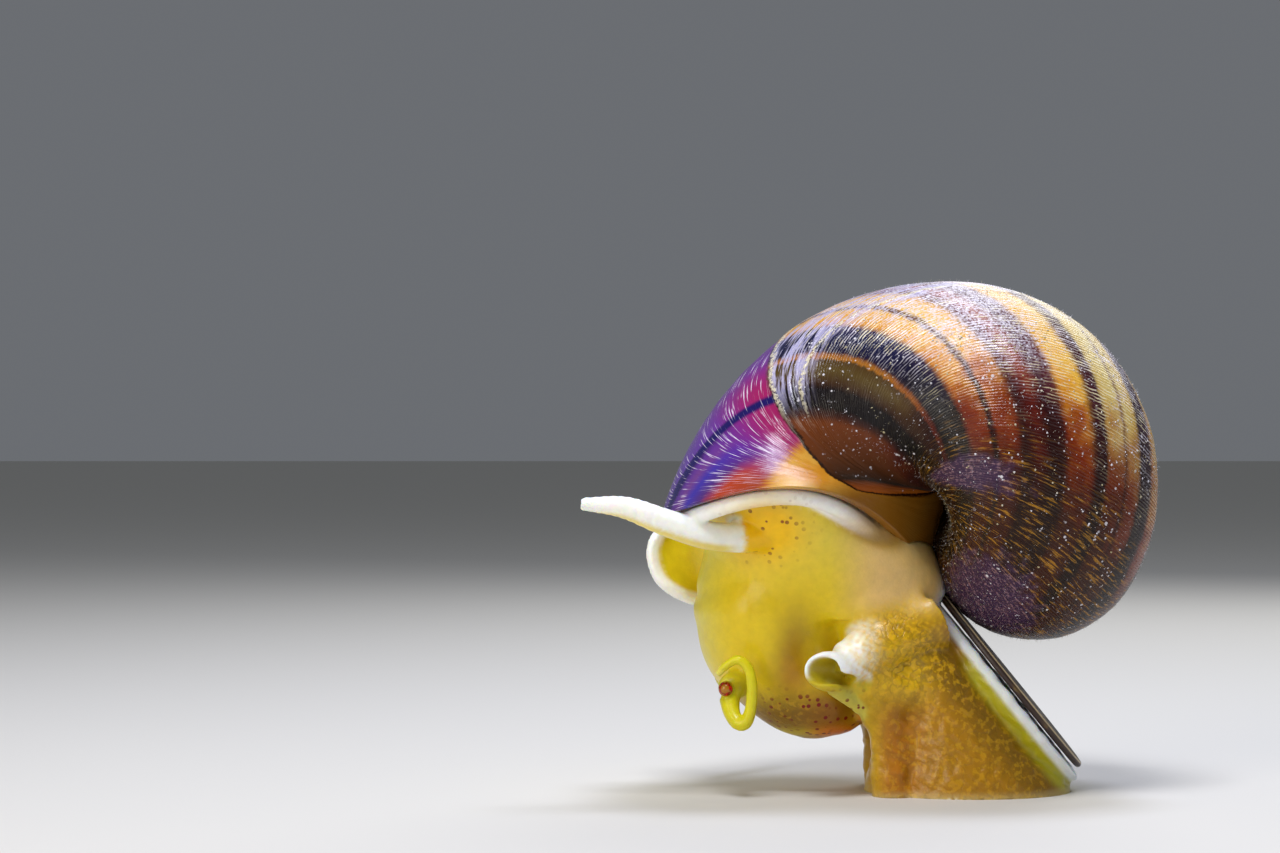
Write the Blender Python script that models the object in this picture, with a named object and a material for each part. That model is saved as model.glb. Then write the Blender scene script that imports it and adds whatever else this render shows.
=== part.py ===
"""Apple snail: a still, life-size model of the living animal, reared on the back of its foot.

The origin is the middle of the sole's footing, on the floor. -X is the head end, +X the tail end,
-Y the animal's left side, +Z up. Lengths are written in millimetres and turned to metres once.
"""

import bmesh
import bpy
import numpy as np
from mathutils import Vector

MM = 0.001
GAP = 0.3  # clearance between pieces that touch
TURN = 2 * np.pi

# Shell: an oval section carried along a logarithmic spiral, dextral
WHORL_GROWTH = 2.45  # each turn is this many times as large as the one before
AXIS_FOOT = (-5.7, -8.0, 28.7)  # the coiling axis beside the middle of the mouth
AXIS_HEADING = 50.0  # degrees from +Y towards +X, pointing at the apex
AXIS_RISE = -5.5
SECTION_REACH = 13.0  # from the axis to the middle of the mouth's section
APEX_DROP = 28.0  # from the middle of the section along the axis to the spiral's pole
SECTION_RADIUS = 11.6
SECTION_HALF_HEIGHT = 16.5
SECTION_TILT = -24.0
SECTION_EGG = -0.075
MOUTH_PHASE = 269.7  # where on the turn the mouth lies
LIP_SLANT = -17.5  # how far growth lines lean round the turn
INNER_LIP_REACH = 6.1  # how far the inner lip runs on past the outer one
INNER_LIP_PLACE = 170.0
INNER_LIP_SPREAD = 0.75
INNER_LIP_RUN = 0.9  # radians of turn over which the inner lip's reach fades out
SHELL_TURNS = 3.6
SHELL_WALL = 0.8
MOUTH_DEPTH = 20.0  # degrees of the last turn that the soft body fills
PLUG_DEPTH = 15.0
PLUG_INSET = 1.55  # from the shell's outside to the soft body inside the mouth
CORE = ((2.6, 1.9), (20.0, 1.1))  # fills the hollow round the axis: place along it, radius
SHELL_GRID = (190, 44)  # rings along the tube, sides round it

# Soft body by levels: height, front x, back x, half width, middle y
HEAD_LEVELS = (
    (22.0, -23.0, -9.5, 7.6, 0.2),
    (18.0, -25.2, -10.5, 8.0, 0.0),
    (15.5, -25.0, -11.0, 7.8, 0.0),
    (13.0, -24.5, -10.5, 7.4, 0.0),
    (10.8, -23.4, -9.6, 6.9, 0.0),
    (8.8, -21.4, -8.9, 6.1, 0.0),
    (7.0, -19.3, -8.8, 5.2, 0.0),
    (5.7, -17.2, -10.4, 3.4, 0.0),
    (4.95, -14.9, -13.1, 0.9, 0.0),
)
FOOT_LEVELS = (
    (21.0, -16.5, -4.8, 8.4, 0.0),
    (18.0, -14.8, -3.2, 7.9, 0.0),
    (14.2, -12.6, -0.2, 7.3, 0.0),
    (10.8, -9.8, 2.6, 7.1, 0.0),
    (8.4, -8.3, 4.7, 7.3, 0.0),
    (4.0, -8.3, 7.9, 7.9, 0.0),
    (1.4, -8.9, 10.0, 8.3, 0.0),
    (-1.2, -9.3, 10.6, 8.4, 0.0),
)
# Neck: middle x, y, z, half length, half width, turn of the section in degrees
NECK_STATIONS = (
    (-14.3, 1.3, 30.5, 9.8, 15.2, -31.0),
    (-14.0, 1.0, 26.3, 10.0, 13.2, -27.0),
    (-13.4, 0.4, 22.5, 11.0, 10.4, -14.0),
    (-13.2, 0.0, 19.0, 11.8, 8.4, 0.0),
    (-13.2, 0.0, 16.5, 10.4, 7.2, 0.0),
)
MANTLE_RIM = 0.8  # radius of the rounded edge round the shell's mouth
MANTLE_RIM_OUT = 0.06  # radians of turn past the lip
MANTLE_RIM_DROP = 0.35
MANTLE_CUT_DROP = 1.9  # from the lip to the cut that parts mantle and neck
MANTLE_CUT_SPREAD = (0.02, 1.25)  # of the mouth's own size
FLESH_VOXEL = 0.38
FLESH_TRIANGLES = 1500
FLESH_SMOOTHING = 4
SHELL_VOXEL = 0.42
SHELL_TRIANGLES = 1500
SHELL_SMOOTHING = 3

# Front of the foot: each corner is rolled forward into a scroll, open at its outer end
CORNER_MOUTH = (-14.0, 10.6, 12.1)
CORNER_ROOT = (-8.4, 5.4, 11.2)
CORNER_RADII = (1.75, 1.9)
CORNER_HOLLOW = 0.46  # of the scroll's radii
CORNER_ARC = (-10.0, 290.0)  # degrees that the sheet is rolled through
# Ridges that swell the foot's flank, on the animal's right: x, y, z, radius
SHOULDER = ((-3.5, 4.0, 16.4, 3.4), (-7.2, 6.0, 14.5, 2.7), (-10.4, 7.9, 13.2, 1.8), (-12.2, 8.8, 12.9, 1.2))
FRONT_EDGE = ((-11.0, 7.4, 11.2, 1.4), (-8.8, 6.4, 8.8, 1.7), (-7.3, 5.6, 5.6, 1.9), (-6.6, 5.0, -2.0, 2.0))
FRONT_FOLD = (
    (-12.9, 9.0, 10.3, 0.5),
    (-11.2, 8.0, 9.3, 0.6),
    (-9.4, 6.4, 8.0, 0.6),
    (-8.0, 3.5, 7.6, 0.6),
    (-7.5, 0.0, 7.5, 0.6),
)

# Operculum: a horny plate on the back of the foot
PLATE_MIDDLE = (4.4, 0.2, 10.3)
PLATE_UP = (-0.63, 0.0, 0.777)
PLATE_OUT = (0.77, -0.06, 0.62)
PLATE_HALF_LENGTH = 10.6
PLATE_HALF_WIDTH = 5.9
PLATE_TAPER = 0.16  # how much narrower the upper end is
PLATE_THICKNESS = 0.7
LOBE_THICKNESS = 2.4
LOBE_OVERHANG = 0.7
LOBE_CUT_DEPTH = 2.1
LOBE_CUT_REACH = (13.0, 9.0)

# Feelers and siphon: x, y, z, radius
SIPHON = (
    (-18.6, -8.4, 24.6, 1.7),
    (-21.6, -9.6, 24.3, 1.42),
    (-24.6, -10.4, 24.6, 1.33),
    (-28.3, -11.0, 25.8, 1.25),
    (-31.9, -11.2, 27.1, 1.08),
    (-35.6, -11.2, 27.4, 0.8),
)
TENTACLE_LEFT = (
    (-22.1, -6.9, 9.3, 1.0),
    (-21.9, -7.7, 8.0, 0.8),
    (-21.3, -8.4, 7.1, 0.7),
    (-20.55, -8.8, 7.3, 0.62),
    (-20.1, -9.0, 9.2, 0.55),
    (-20.25, -9.1, 11.8, 0.5),
    (-21.3, -9.0, 13.0, 0.46),
    (-22.6, -8.7, 12.3, 0.4),
    (-23.3, -8.4, 11.4, 0.33),
)
TENTACLE_RIGHT = (
    (-20.8, 4.6, 11.6, 0.7),
    (-22.2, 8.0, 12.6, 0.58),
    (-21.4, 12.0, 12.2, 0.54),
    (-19.4, 15.6, 10.6, 0.5),
    (-17.2, 18.4, 9.6, 0.46),
    (-15.4, 21.4, 10.4, 0.4),
    (-14.2, 23.6, 12.2, 0.34),
)
EYE_STALK = ((-20.4, 4.2, 11.0, 1.55), (-21.6, 6.0, 10.4, 1.32), (-22.4, 7.7, 10.2, 1.28))
EYE_RADIUS = 0.75
EYE_PLACE = (-22.4, 7.62, 10.2)
PALP = ((-10.8, 3.0, 8.2, 1.0), (-9.2, 3.6, 7.5, 0.8), (-7.9, 4.1, 7.1, 0.45))

# Right nuchal lobe: a cupped flap between its root in the neck and its free rim
LOBE_ROOT = ((-23.6, 5.4, 25.4), (-22.8, 5.6, 22.0), (-22.6, 5.4, 18.4))
LOBE_RIM = (
    (-27.7, 5.0, 25.9),
    (-29.6, 4.6, 22.9),
    (-28.9, 4.6, 19.7),
    (-26.4, 4.8, 17.9),
    (-24.6, 5.2, 17.5),
)
LOBE_CUP = 1.9
LOBE_WALL = 0.8

# Thin cuts that part the soft body: middle, normal, half length in XZ and half width in Y
CUTS = (
    ((-20.2, 0.0, 18.5), (0.1, 0.0, 1.0), (6.9, 13.0)),
    ((-12.9, 0.0, 17.3), (0.92, 0.0, 0.39), (2.0, 13.0)),
    ((-10.3, 0.0, 11.1), (0.92, 0.0, 0.39), (5.9, 6.4)),
    ((-16.8, 0.0, 10.0), (-0.12, 0.0, 1.0), (7.5, 7.4)),
    ((-6.6, 0.0, 18.0), (0.12, 0.0, 1.0), (7.2, 13.0)),
    ((4.2, 0.0, 2.9), (1.0, 0.0, 0.0), (5.3, 12.0)),
)
CRUMB = 2.0  # a cut's leavings under this many cubic millimetres are dropped
# A place inside each piece of the parted soft body
PIECE_PLACES = {
    "mantle": (-14.0, 1.5, 30.0),
    "neck": (-14.0, 0.0, 22.0),
    "head": (-18.5, 0.0, 14.5),
    "snout": (-15.0, 0.0, 7.5),
    "foot": (-3.0, 0.0, 8.0),
    "foot_tail": (7.2, 0.0, 3.0),
    "opercular_lobe": (3.8, 0.2, 10.2),
}

COLOURS = {
    "shell": (0.20, 0.075, 0.03),
    "plate": (0.11, 0.075, 0.035),
    "flesh": (0.75, 0.55, 0.12),
    "mantle": (0.83, 0.80, 0.62),
    "eye": (0.55, 0.08, 0.02),
}
ROUGHNESS = {"shell": 0.3, "plate": 0.45, "flesh": 0.35, "mantle": 0.35, "eye": 0.1}
TIP_ANGLES = (20, 45, 65, 80, 88)  # degrees round a limb's rounded end
BLOCK_SIZE = 100.0  # of the block under the floor
SHARP_ANGLE = 50


def clear_scene():
    for thing in list(bpy.data.objects):
        bpy.data.objects.remove(thing, do_unlink=True)


def finish_of(kind):
    """The one material of each kind of surface."""
    found = bpy.data.materials.get(kind)
    if found:
        return found
    made = bpy.data.materials.new(kind)
    made.use_nodes = True
    shader = made.node_tree.nodes["Principled BSDF"]
    shader.inputs["Base Color"].default_value = (*COLOURS[kind], 1.0)
    shader.inputs["Roughness"].default_value = ROUGHNESS[kind]
    shader.inputs["Metallic"].default_value = 0.0
    return made


def object_from(shape, name, kind="flesh"):
    """A scene object from a bmesh in millimetres, turned to metres."""
    bmesh.ops.scale(shape, vec=Vector((MM, MM, MM)), verts=shape.verts)
    mesh = bpy.data.meshes.new(name)
    shape.to_mesh(mesh)
    shape.free()
    made = bpy.data.objects.new(name, mesh)
    bpy.context.scene.collection.objects.link(made)
    made.data.materials.append(finish_of(kind))
    return made


def solid_of_rings(rings):
    """A closed bmesh whose skin runs through the rings, with a flat face on each end."""
    shape = bmesh.new()
    loops = [[shape.verts.new(point) for point in ring] for ring in rings]
    sides = len(loops[0])
    for near, far in zip(loops, loops[1:]):
        for i in range(sides):
            j = (i + 1) % sides
            shape.faces.new((near[i], near[j], far[j], far[i]))
    shape.faces.new(list(reversed(loops[0])))
    shape.faces.new(loops[-1])
    bmesh.ops.triangulate(shape, faces=[face for face in shape.faces if len(face.verts) > 4])
    bmesh.ops.recalc_face_normals(shape, faces=shape.faces)
    return shape


def smooth_rows(rows, count):
    """count rows on the smooth curve through the given rows, evenly spaced in parameter."""
    rows = np.asarray(rows, float)
    padded = np.vstack([2 * rows[0] - rows[1], rows, 2 * rows[-1] - rows[-2]])
    place = np.linspace(0, len(rows) - 1, count)
    span = np.minimum(place.astype(int), len(rows) - 2)
    t = (place - span)[:, None]
    before, start, end, after = (padded[span + i] for i in range(4))
    return 0.5 * (
        2 * start
        + (end - before) * t
        + (2 * before - 5 * start + 4 * end - after) * t**2
        + (3 * start - before - 3 * end + after) * t**3
    )


def body_of_levels(levels, rings=14, sides=28):
    """A soft mass given by oval slices at heights."""
    height, front, back, half_width, middle = smooth_rows(levels, rings).T[:, :, None]
    angle = np.linspace(0, TURN, sides, endpoint=False)
    x = (front + back) / 2 + (back - front) / 2 * np.cos(angle)
    y = middle + half_width * np.sin(angle)
    return solid_of_rings(np.stack([x, y, height + 0 * x], axis=-1))


def neck_body(rings=9, sides=28):
    """The neck, whose slices turn as they leave the shell's mouth."""
    x, y, z, half_length, half_width, turn = smooth_rows(NECK_STATIONS, rings).T[:, :, None]
    angle = np.linspace(0, TURN, sides, endpoint=False)
    turn = np.radians(turn)
    along = half_length * np.cos(angle)
    across = half_width * np.sin(angle)
    return solid_of_rings(
        np.stack(
            [
                x + along * np.cos(turn) - across * np.sin(turn),
                y + along * np.sin(turn) + across * np.cos(turn),
                z + 0 * along,
            ],
            axis=-1,
        )
    )


def directions_along(line):
    """Unit tangent and two square-on unit directions at each place of a line."""
    tangent = np.gradient(line, axis=0)
    tangent /= np.linalg.norm(tangent, axis=1)[:, None]
    side = np.cross(tangent[0], (0.0, 0.3, 1.0))
    sides = []
    for direction in tangent:
        side = side - direction * (side @ direction)
        side /= np.linalg.norm(side)
        sides.append(side)
    sides = np.array(sides)
    return tangent, sides, np.cross(tangent, sides)


def feeler(rows, span=(0.0, 1.0), grow=0.0, round_tip=True, rings=16, sides=10):
    """A tapering round limb through rows of x, y, z, radius; span takes a stretch of its length."""
    fine = smooth_rows(rows, 200)
    length = np.concatenate([[0], np.cumsum(np.linalg.norm(np.diff(fine[:, :3], axis=0), axis=1))])
    wanted = np.linspace(span[0], span[1], rings) * length[-1]
    if round_tip:
        radius = fine[-1, 3]
        rounding = length[-1] - radius * (1 - np.sin(np.radians(TIP_ANGLES)))
        wanted = np.sort(np.concatenate([wanted[:-1], rounding]))
    rows = np.stack([np.interp(wanted, length, column) for column in fine.T], axis=-1)
    _, one, two = directions_along(rows[:, :3])
    radius = rows[:, 3] + grow
    if round_tip:
        left = np.clip((length[-1] - wanted) / fine[-1, 3], 0, 1)
        radius = radius * np.sqrt(np.clip(1 - (1 - left) ** 2, 0.02, 1))
    angle = np.linspace(0, TURN, sides, endpoint=False)[:, None]
    rings = [
        centre + r * (np.cos(angle) * a + np.sin(angle) * b)
        for centre, r, a, b in zip(rows[:, :3], radius, one, two)
    ]
    return solid_of_rings(rings)


def on_side(rows, side):
    """Rows of x, y, z and more that are given for the right, on the left (-1) or the right (1)."""
    return [(row[0], side * row[1], *row[2:]) for row in rows]


def shell_axes():
    """Unit directions: towards the apex, and two across the axis."""
    heading, rise = np.radians((AXIS_HEADING, AXIS_RISE))
    apex = np.array(
        (np.sin(heading) * np.cos(rise), np.cos(heading) * np.cos(rise), np.sin(rise))
    )
    across = np.array((0.0, 0.0, 1.0)) - apex * apex[2]
    across /= np.linalg.norm(across)
    return apex, across, np.cross(apex, across)


def shell_place(turn, girth, inset=0.0):
    """Places on the shell: turn runs back from the lip (0) in radians, girth round the section."""
    apex, across, along = shell_axes()
    tilt, slant, phase = np.radians((SECTION_TILT, LIP_SLANT, MOUTH_PHASE))
    width = (SECTION_RADIUS - inset) * np.cos(girth) * (1 + SECTION_EGG * np.sin(girth))
    height = (SECTION_HALF_HEIGHT - inset) * np.sin(girth)
    out = width * np.cos(tilt) - height * np.sin(tilt)
    rise = width * np.sin(tilt) + height * np.cos(tilt)
    scale = WHORL_GROWTH ** ((turn + slant * np.sin(girth)) / TURN)
    bearing = phase - turn - slant * np.sin(girth)
    outward = np.cos(bearing)[..., None] * across + np.sin(bearing)[..., None] * along
    onward = np.cross(np.cos(phase) * across + np.sin(phase) * along, apex)
    offset = (girth - np.radians(INNER_LIP_PLACE) + np.pi) % TURN - np.pi
    reach = INNER_LIP_REACH * np.exp(-((offset / INNER_LIP_SPREAD) ** 2))
    reach = reach * np.clip(1 + turn / INNER_LIP_RUN, 0, 1.3) ** 1.5
    return (
        np.array(AXIS_FOOT)
        + (scale * (SECTION_REACH + out))[..., None] * outward
        + (scale * (rise - APEX_DROP) + APEX_DROP)[..., None] * apex
        + reach[..., None] * onward
    )


def shell_tube(start, end, rings, sides, inset=0.0):
    """The stretch of the coiled tube between two turns (radians) as one closed bmesh."""
    turn = np.linspace(start, end, rings)[:, None]
    girth = np.linspace(0, TURN, sides, endpoint=False)[None, :]
    return solid_of_rings(shell_place(turn + 0 * girth, girth + 0 * turn, inset))


def merge(shapes):
    """One bmesh that holds all the given ones."""
    whole = bmesh.new()
    for shape in shapes:
        mesh = bpy.data.meshes.new("part")
        shape.to_mesh(mesh)
        shape.free()
        whole.from_mesh(mesh)
        bpy.data.meshes.remove(mesh)
    return whole


def bake(thing):
    """Turns the object's modifiers into plain mesh."""
    bpy.context.view_layer.update()
    graph = bpy.context.evaluated_depsgraph_get()
    mesh = bpy.data.meshes.new_from_object(thing.evaluated_get(graph))
    thing.modifiers.clear()
    thing.data = mesh
    return thing


def melt(thing, voxel, triangles, smoothing):
    """Joins overlapping lumps into one smooth skin of about the given number of triangles."""
    remesh = thing.modifiers.new("melt", "REMESH")
    remesh.mode = "VOXEL"
    remesh.voxel_size = voxel * MM
    smooth = thing.modifiers.new("smooth", "SMOOTH")
    smooth.factor = 0.5
    smooth.iterations = smoothing
    bake(thing)
    thin = thing.modifiers.new("thin", "DECIMATE")
    thin.ratio = min(1.0, triangles / (2 * len(thing.data.polygons)))
    return bake(thing)


def cut(thing, cutter):
    """Takes the cutter's volume out of the object; the cutter is used up.

    A swollen shell crosses itself where its thin wall curls in, which only this solver stands.
    """
    change = thing.modifiers.new("change", "BOOLEAN")
    change.operation = "DIFFERENCE"
    change.solver = "MANIFOLD"
    change.object = cutter
    bake(thing)
    bpy.data.objects.remove(cutter, do_unlink=True)
    return thing


def slab(middle, normal, reach, thickness=GAP):
    """A thin cutting plate: reach is its half length (across the normal, in XZ) and half width in Y."""
    normal = Vector(normal).normalized()
    along = normal.cross(Vector((0, 1, 0))).normalized()
    across = normal.cross(along)
    shape = bmesh.new()
    bmesh.ops.create_cube(shape, size=2)
    for vert in shape.verts:
        x, y, z = vert.co
        vert.co = (
            Vector(middle) + along * (x * reach[0]) + across * (y * reach[1]) + normal * (z * thickness / 2)
        )
    return object_from(shape, "cutter")


def swollen(thing, amount):
    """A copy of the object with its skin moved outwards, as a cutter that leaves a clearance."""
    copy = bpy.data.objects.new("swollen", thing.data.copy())
    bpy.context.scene.collection.objects.link(copy)
    shape = bmesh.new()
    shape.from_mesh(copy.data)
    shape.normal_update()
    moves = [vert.normal * (amount * MM) * vert.calc_shell_factor() for vert in shape.verts]
    for vert, move in zip(shape.verts, moves):
        vert.co += move
    shape.to_mesh(copy.data)
    shape.free()
    return copy


def loose_parts(thing):
    """The object's separate bodies as bmeshes in metres, largest first."""
    shape = bmesh.new()
    shape.from_mesh(thing.data)
    parts, seen = [], set()
    for start in shape.verts:
        if start in seen:
            continue
        group, front = {start}, [start]
        while front:
            vert = front.pop()
            for edge in vert.link_edges:
                other = edge.other_vert(vert)
                if other not in group:
                    group.add(other)
                    front.append(other)
        seen |= group
        part = shape.copy()
        part.verts.ensure_lookup_table()
        keep = {vert.index for vert in group}
        spare = [vert for vert in part.verts if vert.index not in keep]
        bmesh.ops.delete(part, geom=spare, context="VERTS")
        parts.append(part)
    shape.free()
    return sorted(parts, key=lambda part: -part.calc_volume())


def build_shell():
    """The coiled shell, with a hollow mouth that the soft body fills."""
    start = -SHELL_TURNS * TURN
    whorls = shell_tube(start, 0.0, *SHELL_GRID)
    apex = shell_axes()[0]
    core = [(*(np.array(AXIS_FOOT) + apex * place), radius) for place, radius in CORE]
    shell = object_from(merge([whorls, feeler(core, round_tip=False)]), "shell", "shell")
    melt(shell, SHELL_VOXEL, SHELL_TRIANGLES, SHELL_SMOOTHING)
    hollow = shell_tube(-np.radians(MOUTH_DEPTH), 0.3, 8, 28, inset=SHELL_WALL)
    return cut(shell, object_from(hollow, "hollow"))


def mantle_edge():
    """The rounded edge of the mantle, just inside and below the shell's lip."""
    girth = np.linspace(0, TURN, 49)
    lip = shell_place(0 * girth + MANTLE_RIM_OUT, girth, SHELL_WALL + MANTLE_RIM)
    rows = np.column_stack([lip - (0.0, 0.0, MANTLE_RIM_DROP), 0 * girth + MANTLE_RIM])
    return feeler(rows, round_tip=False, rings=60, sides=8)


def mantle_cutter(rings=4, sides=40):
    """A thin curved sheet that follows the shell's lip, a little below it."""
    girth = np.linspace(0, TURN, sides, endpoint=False)
    lip = shell_place(0 * girth, girth)
    middle = lip.mean(axis=0)
    spread = np.linspace(*MANTLE_CUT_SPREAD, rings)[:, None, None]
    under = middle + (lip - middle) * spread - (0.0, 0.0, MANTLE_CUT_DROP)
    over = under + (0.0, 0.0, GAP)
    return object_from(solid_of_rings(np.concatenate([under, over[::-1]])), "cutter")


def build_flesh():
    """The soft body as one skin, before it is parted into its named pieces."""
    plug = shell_tube(-np.radians(PLUG_DEPTH), 0.02, 6, 24, inset=PLUG_INSET)
    lumps = [
        body_of_levels(HEAD_LEVELS),
        body_of_levels(FOOT_LEVELS),
        neck_body(),
        plug,
        mantle_edge(),
        opercular_lobe(),
    ]
    for side in (-1, 1):
        lumps.append(foot_corner(side))
        for ridge in (SHOULDER, FRONT_EDGE, FRONT_FOLD):
            lumps.append(feeler(on_side(ridge, side), round_tip=False))
    flesh = object_from(merge(lumps), "flesh")
    return melt(flesh, FLESH_VOXEL, FLESH_TRIANGLES, FLESH_SMOOTHING)


def foot_corner(side, rings=8, sides=14):
    """A front corner of the foot: a thick sheet rolled into a scroll round a line that runs inward."""
    mouth, root = np.array(on_side([CORNER_MOUTH, CORNER_ROOT], side))
    angle = np.radians(np.linspace(*CORNER_ARC, sides))
    arc = np.stack([CORNER_RADII[0] * np.cos(angle), 0 * angle, CORNER_RADII[1] * np.sin(angle)], -1)
    loop = np.concatenate([arc, CORNER_HOLLOW * arc[::-1]])
    return solid_of_rings([mouth + (root - mouth) * place + loop for place in np.linspace(0, 1, rings)])


def plate_frame():
    """Middle and unit directions of the operculum: up its length, across it and out of it."""
    up = Vector(PLATE_UP).normalized()
    out = Vector(PLATE_OUT)
    out = (out - up * out.dot(up)).normalized()
    return Vector(PLATE_MIDDLE), up, out.cross(up), out


def plate_solid(low, high, spread=0.0, sides=28):
    """A slice of the operculum's outline between two heights above its middle plane."""
    middle, up, across, out = plate_frame()
    angle = np.linspace(0, TURN, sides, endpoint=False)
    length = (PLATE_HALF_LENGTH + spread) * np.cos(angle)
    width = (PLATE_HALF_WIDTH + spread) * np.sin(angle) * (1 - PLATE_TAPER * np.cos(angle))
    rings = []
    for height in (low, high):
        rings.append([middle + up * a + across * b + out * height for a, b in zip(length, width)])
    return solid_of_rings(rings)


def opercular_lobe():
    """The fleshy pad that carries the operculum and stands a little proud of it all round."""
    return plate_solid(-LOBE_THICKNESS, -GAP, spread=LOBE_OVERHANG)


def flap(columns=9, rows=5):
    """The right nuchal lobe: a cupped sheet from root to rim with a thickness."""
    root, rim = smooth_rows(LOBE_ROOT, columns), smooth_rows(LOBE_RIM, columns)
    reach = np.linspace(0, 1, rows)[:, None, None]
    middle = (1 - reach) * root + reach * rim + np.array((0.0, LOBE_CUP, 0.0)) * np.sin(np.pi * reach)
    along = np.gradient(middle, axis=1)
    outward = np.gradient(middle, axis=0)
    normal = np.cross(along, outward)
    normal /= np.linalg.norm(normal, axis=-1)[..., None]
    half = LOBE_WALL / 2
    edges = np.concatenate([middle + normal * half, (middle - normal * half)[:, ::-1]], axis=1)
    return solid_of_rings(edges)


def eyeball(side):
    shape = bmesh.new()
    bmesh.ops.create_uvsphere(shape, u_segments=12, v_segments=8, radius=EYE_RADIUS)
    x, y, z = EYE_PLACE
    bmesh.ops.translate(shape, vec=Vector((x, side * y, z)), verts=shape.verts)
    return shape


def floor_cutter():
    """A block whose top face is the floor, so that the sole is cut flat."""
    shape = bmesh.new()
    bmesh.ops.create_cube(shape, size=BLOCK_SIZE)
    bmesh.ops.translate(shape, vec=Vector((0, 0, -BLOCK_SIZE / 2)), verts=shape.verts)
    return object_from(shape, "cutter")


def limb_lengths(rows, name, count, stem, rings=6, sides=10):
    """A feeler in end to end lengths, its seat cut out of the stem it grows from."""
    cut(stem, object_from(feeler(rows, grow=GAP, rings=rings * count, sides=sides), "cutter"))
    total = np.linalg.norm(np.diff(np.array(rows)[:, :3], axis=0), axis=1).sum()
    gap = GAP / total
    for i in range(count):
        span = (i / count + (gap if i else 0), (i + 1) / count)
        shape = feeler(rows, span, round_tip=i == count - 1, rings=rings, sides=sides)
        made = object_from(shape, name if count == 1 else f"{name}_{i + 1}")
    return made


def part_flesh(flesh):
    """Parts the soft body with the thin cuts and names each piece by the place that lies in it."""
    middle, _, _, out = plate_frame()
    for place, normal, reach in CUTS:
        cut(flesh, slab(place, normal, reach))
    cut(flesh, slab(middle - out * LOBE_CUT_DEPTH, out, LOBE_CUT_REACH))
    cut(flesh, mantle_cutter())
    for shape in loose_parts(flesh):
        if shape.calc_volume() < CRUMB * MM**3:
            shape.free()
            continue
        centre = sum((vert.co for vert in shape.verts), Vector()) / len(shape.verts) / MM
        name = min(PIECE_PLACES, key=lambda piece: (Vector(PIECE_PLACES[piece]) - centre).length)
        bmesh.ops.scale(shape, vec=Vector((1 / MM,) * 3), verts=shape.verts)
        object_from(shape, name, "mantle" if name == "mantle" else "flesh")
    bpy.data.objects.remove(flesh, do_unlink=True)


def shade_round():
    for thing in bpy.context.scene.objects:
        thing.data.shade_smooth()
        thing.data.set_sharp_from_angle(angle=np.radians(SHARP_ANGLE))


def main():
    clear_scene()
    shell = build_shell()
    flesh = build_flesh()
    cut(flesh, swollen(shell, GAP))
    cut(flesh, floor_cutter())
    plate = object_from(plate_solid(0.0, PLATE_THICKNESS), "operculum", "plate")
    cut(plate, swollen(shell, GAP))
    cut(flesh, swollen(plate, GAP))
    for side, name in ((-1, "left"), (1, "right")):
        tentacle = TENTACLE_LEFT if side < 0 else TENTACLE_RIGHT
        limb_lengths(tentacle, f"tentacle_{name}", 3, flesh, 6, 8)
        limb_lengths(on_side(PALP, side), f"palp_{name}", 1, flesh, 5, 8)
        stalk = limb_lengths(on_side(EYE_STALK, side), f"eye_stalk_{name}", 1, flesh)
        cut(stalk, object_from(feeler(tentacle, grow=GAP, rings=18, sides=8), "cutter"))
        eye = object_from(eyeball(side), f"eye_{name}", "eye")
        for neighbour in (stalk, bpy.data.objects[f"tentacle_{name}_1"]):
            cut(neighbour, swollen(eye, GAP))
    limb_lengths(SIPHON, "siphon", 2, flesh, sides=12)
    lobe = object_from(flap(), "nuchal_lobe_right")
    cut(flesh, swollen(lobe, GAP))
    part_flesh(flesh)
    shade_round()


main()
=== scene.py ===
"""Looks of the apple snail: its shell, soft body, operculum and eyes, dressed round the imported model.

Lengths are in millimetres in the row frame (-X head end, -Y the animal's left, +Z up) and are turned
to metres where a mesh or a material takes them. Angles round the shell are in degrees.
"""

import logging
from collections.abc import Callable
from dataclasses import dataclass
from enum import Enum
from functools import partial

import bpy
import numpy as np
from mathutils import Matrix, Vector


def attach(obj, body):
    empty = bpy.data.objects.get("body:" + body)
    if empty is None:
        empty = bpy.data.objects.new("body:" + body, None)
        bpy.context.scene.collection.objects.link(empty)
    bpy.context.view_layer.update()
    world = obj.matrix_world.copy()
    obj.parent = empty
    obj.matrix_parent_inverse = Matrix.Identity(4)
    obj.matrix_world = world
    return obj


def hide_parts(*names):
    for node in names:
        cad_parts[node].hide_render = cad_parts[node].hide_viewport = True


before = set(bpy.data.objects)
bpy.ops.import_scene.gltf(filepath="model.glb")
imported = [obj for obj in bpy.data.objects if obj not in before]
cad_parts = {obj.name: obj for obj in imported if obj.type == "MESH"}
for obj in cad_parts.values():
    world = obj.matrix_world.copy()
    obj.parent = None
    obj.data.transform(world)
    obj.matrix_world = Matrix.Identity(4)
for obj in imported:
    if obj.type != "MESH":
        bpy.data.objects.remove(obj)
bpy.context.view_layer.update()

MM = 0.001
TURN = 2 * np.pi
BODY = "root"
log = logging.getLogger("snail")


class Side(Enum):
    """The animal's two sides, as the sign of Y."""

    LEFT = -1
    RIGHT = 1


# ---- Small tools


def linear(code: str, alpha: float = 1.0) -> tuple[float, float, float, float]:
    """A colour written as sRGB hex, turned to the linear values that shaders take.

    Args:
        code: six hex digits after a hash sign.
        alpha: the fourth value.

    Returns:
        Linear red, green and blue, and alpha.
    """
    srgb = np.array([int(code[i : i + 2], 16) / 255 for i in (1, 3, 5)])
    value = np.where(srgb <= 0.04045, srgb / 12.92, ((srgb + 0.055) / 1.055) ** 2.4)
    return (*(float(v) for v in value), alpha)


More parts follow.
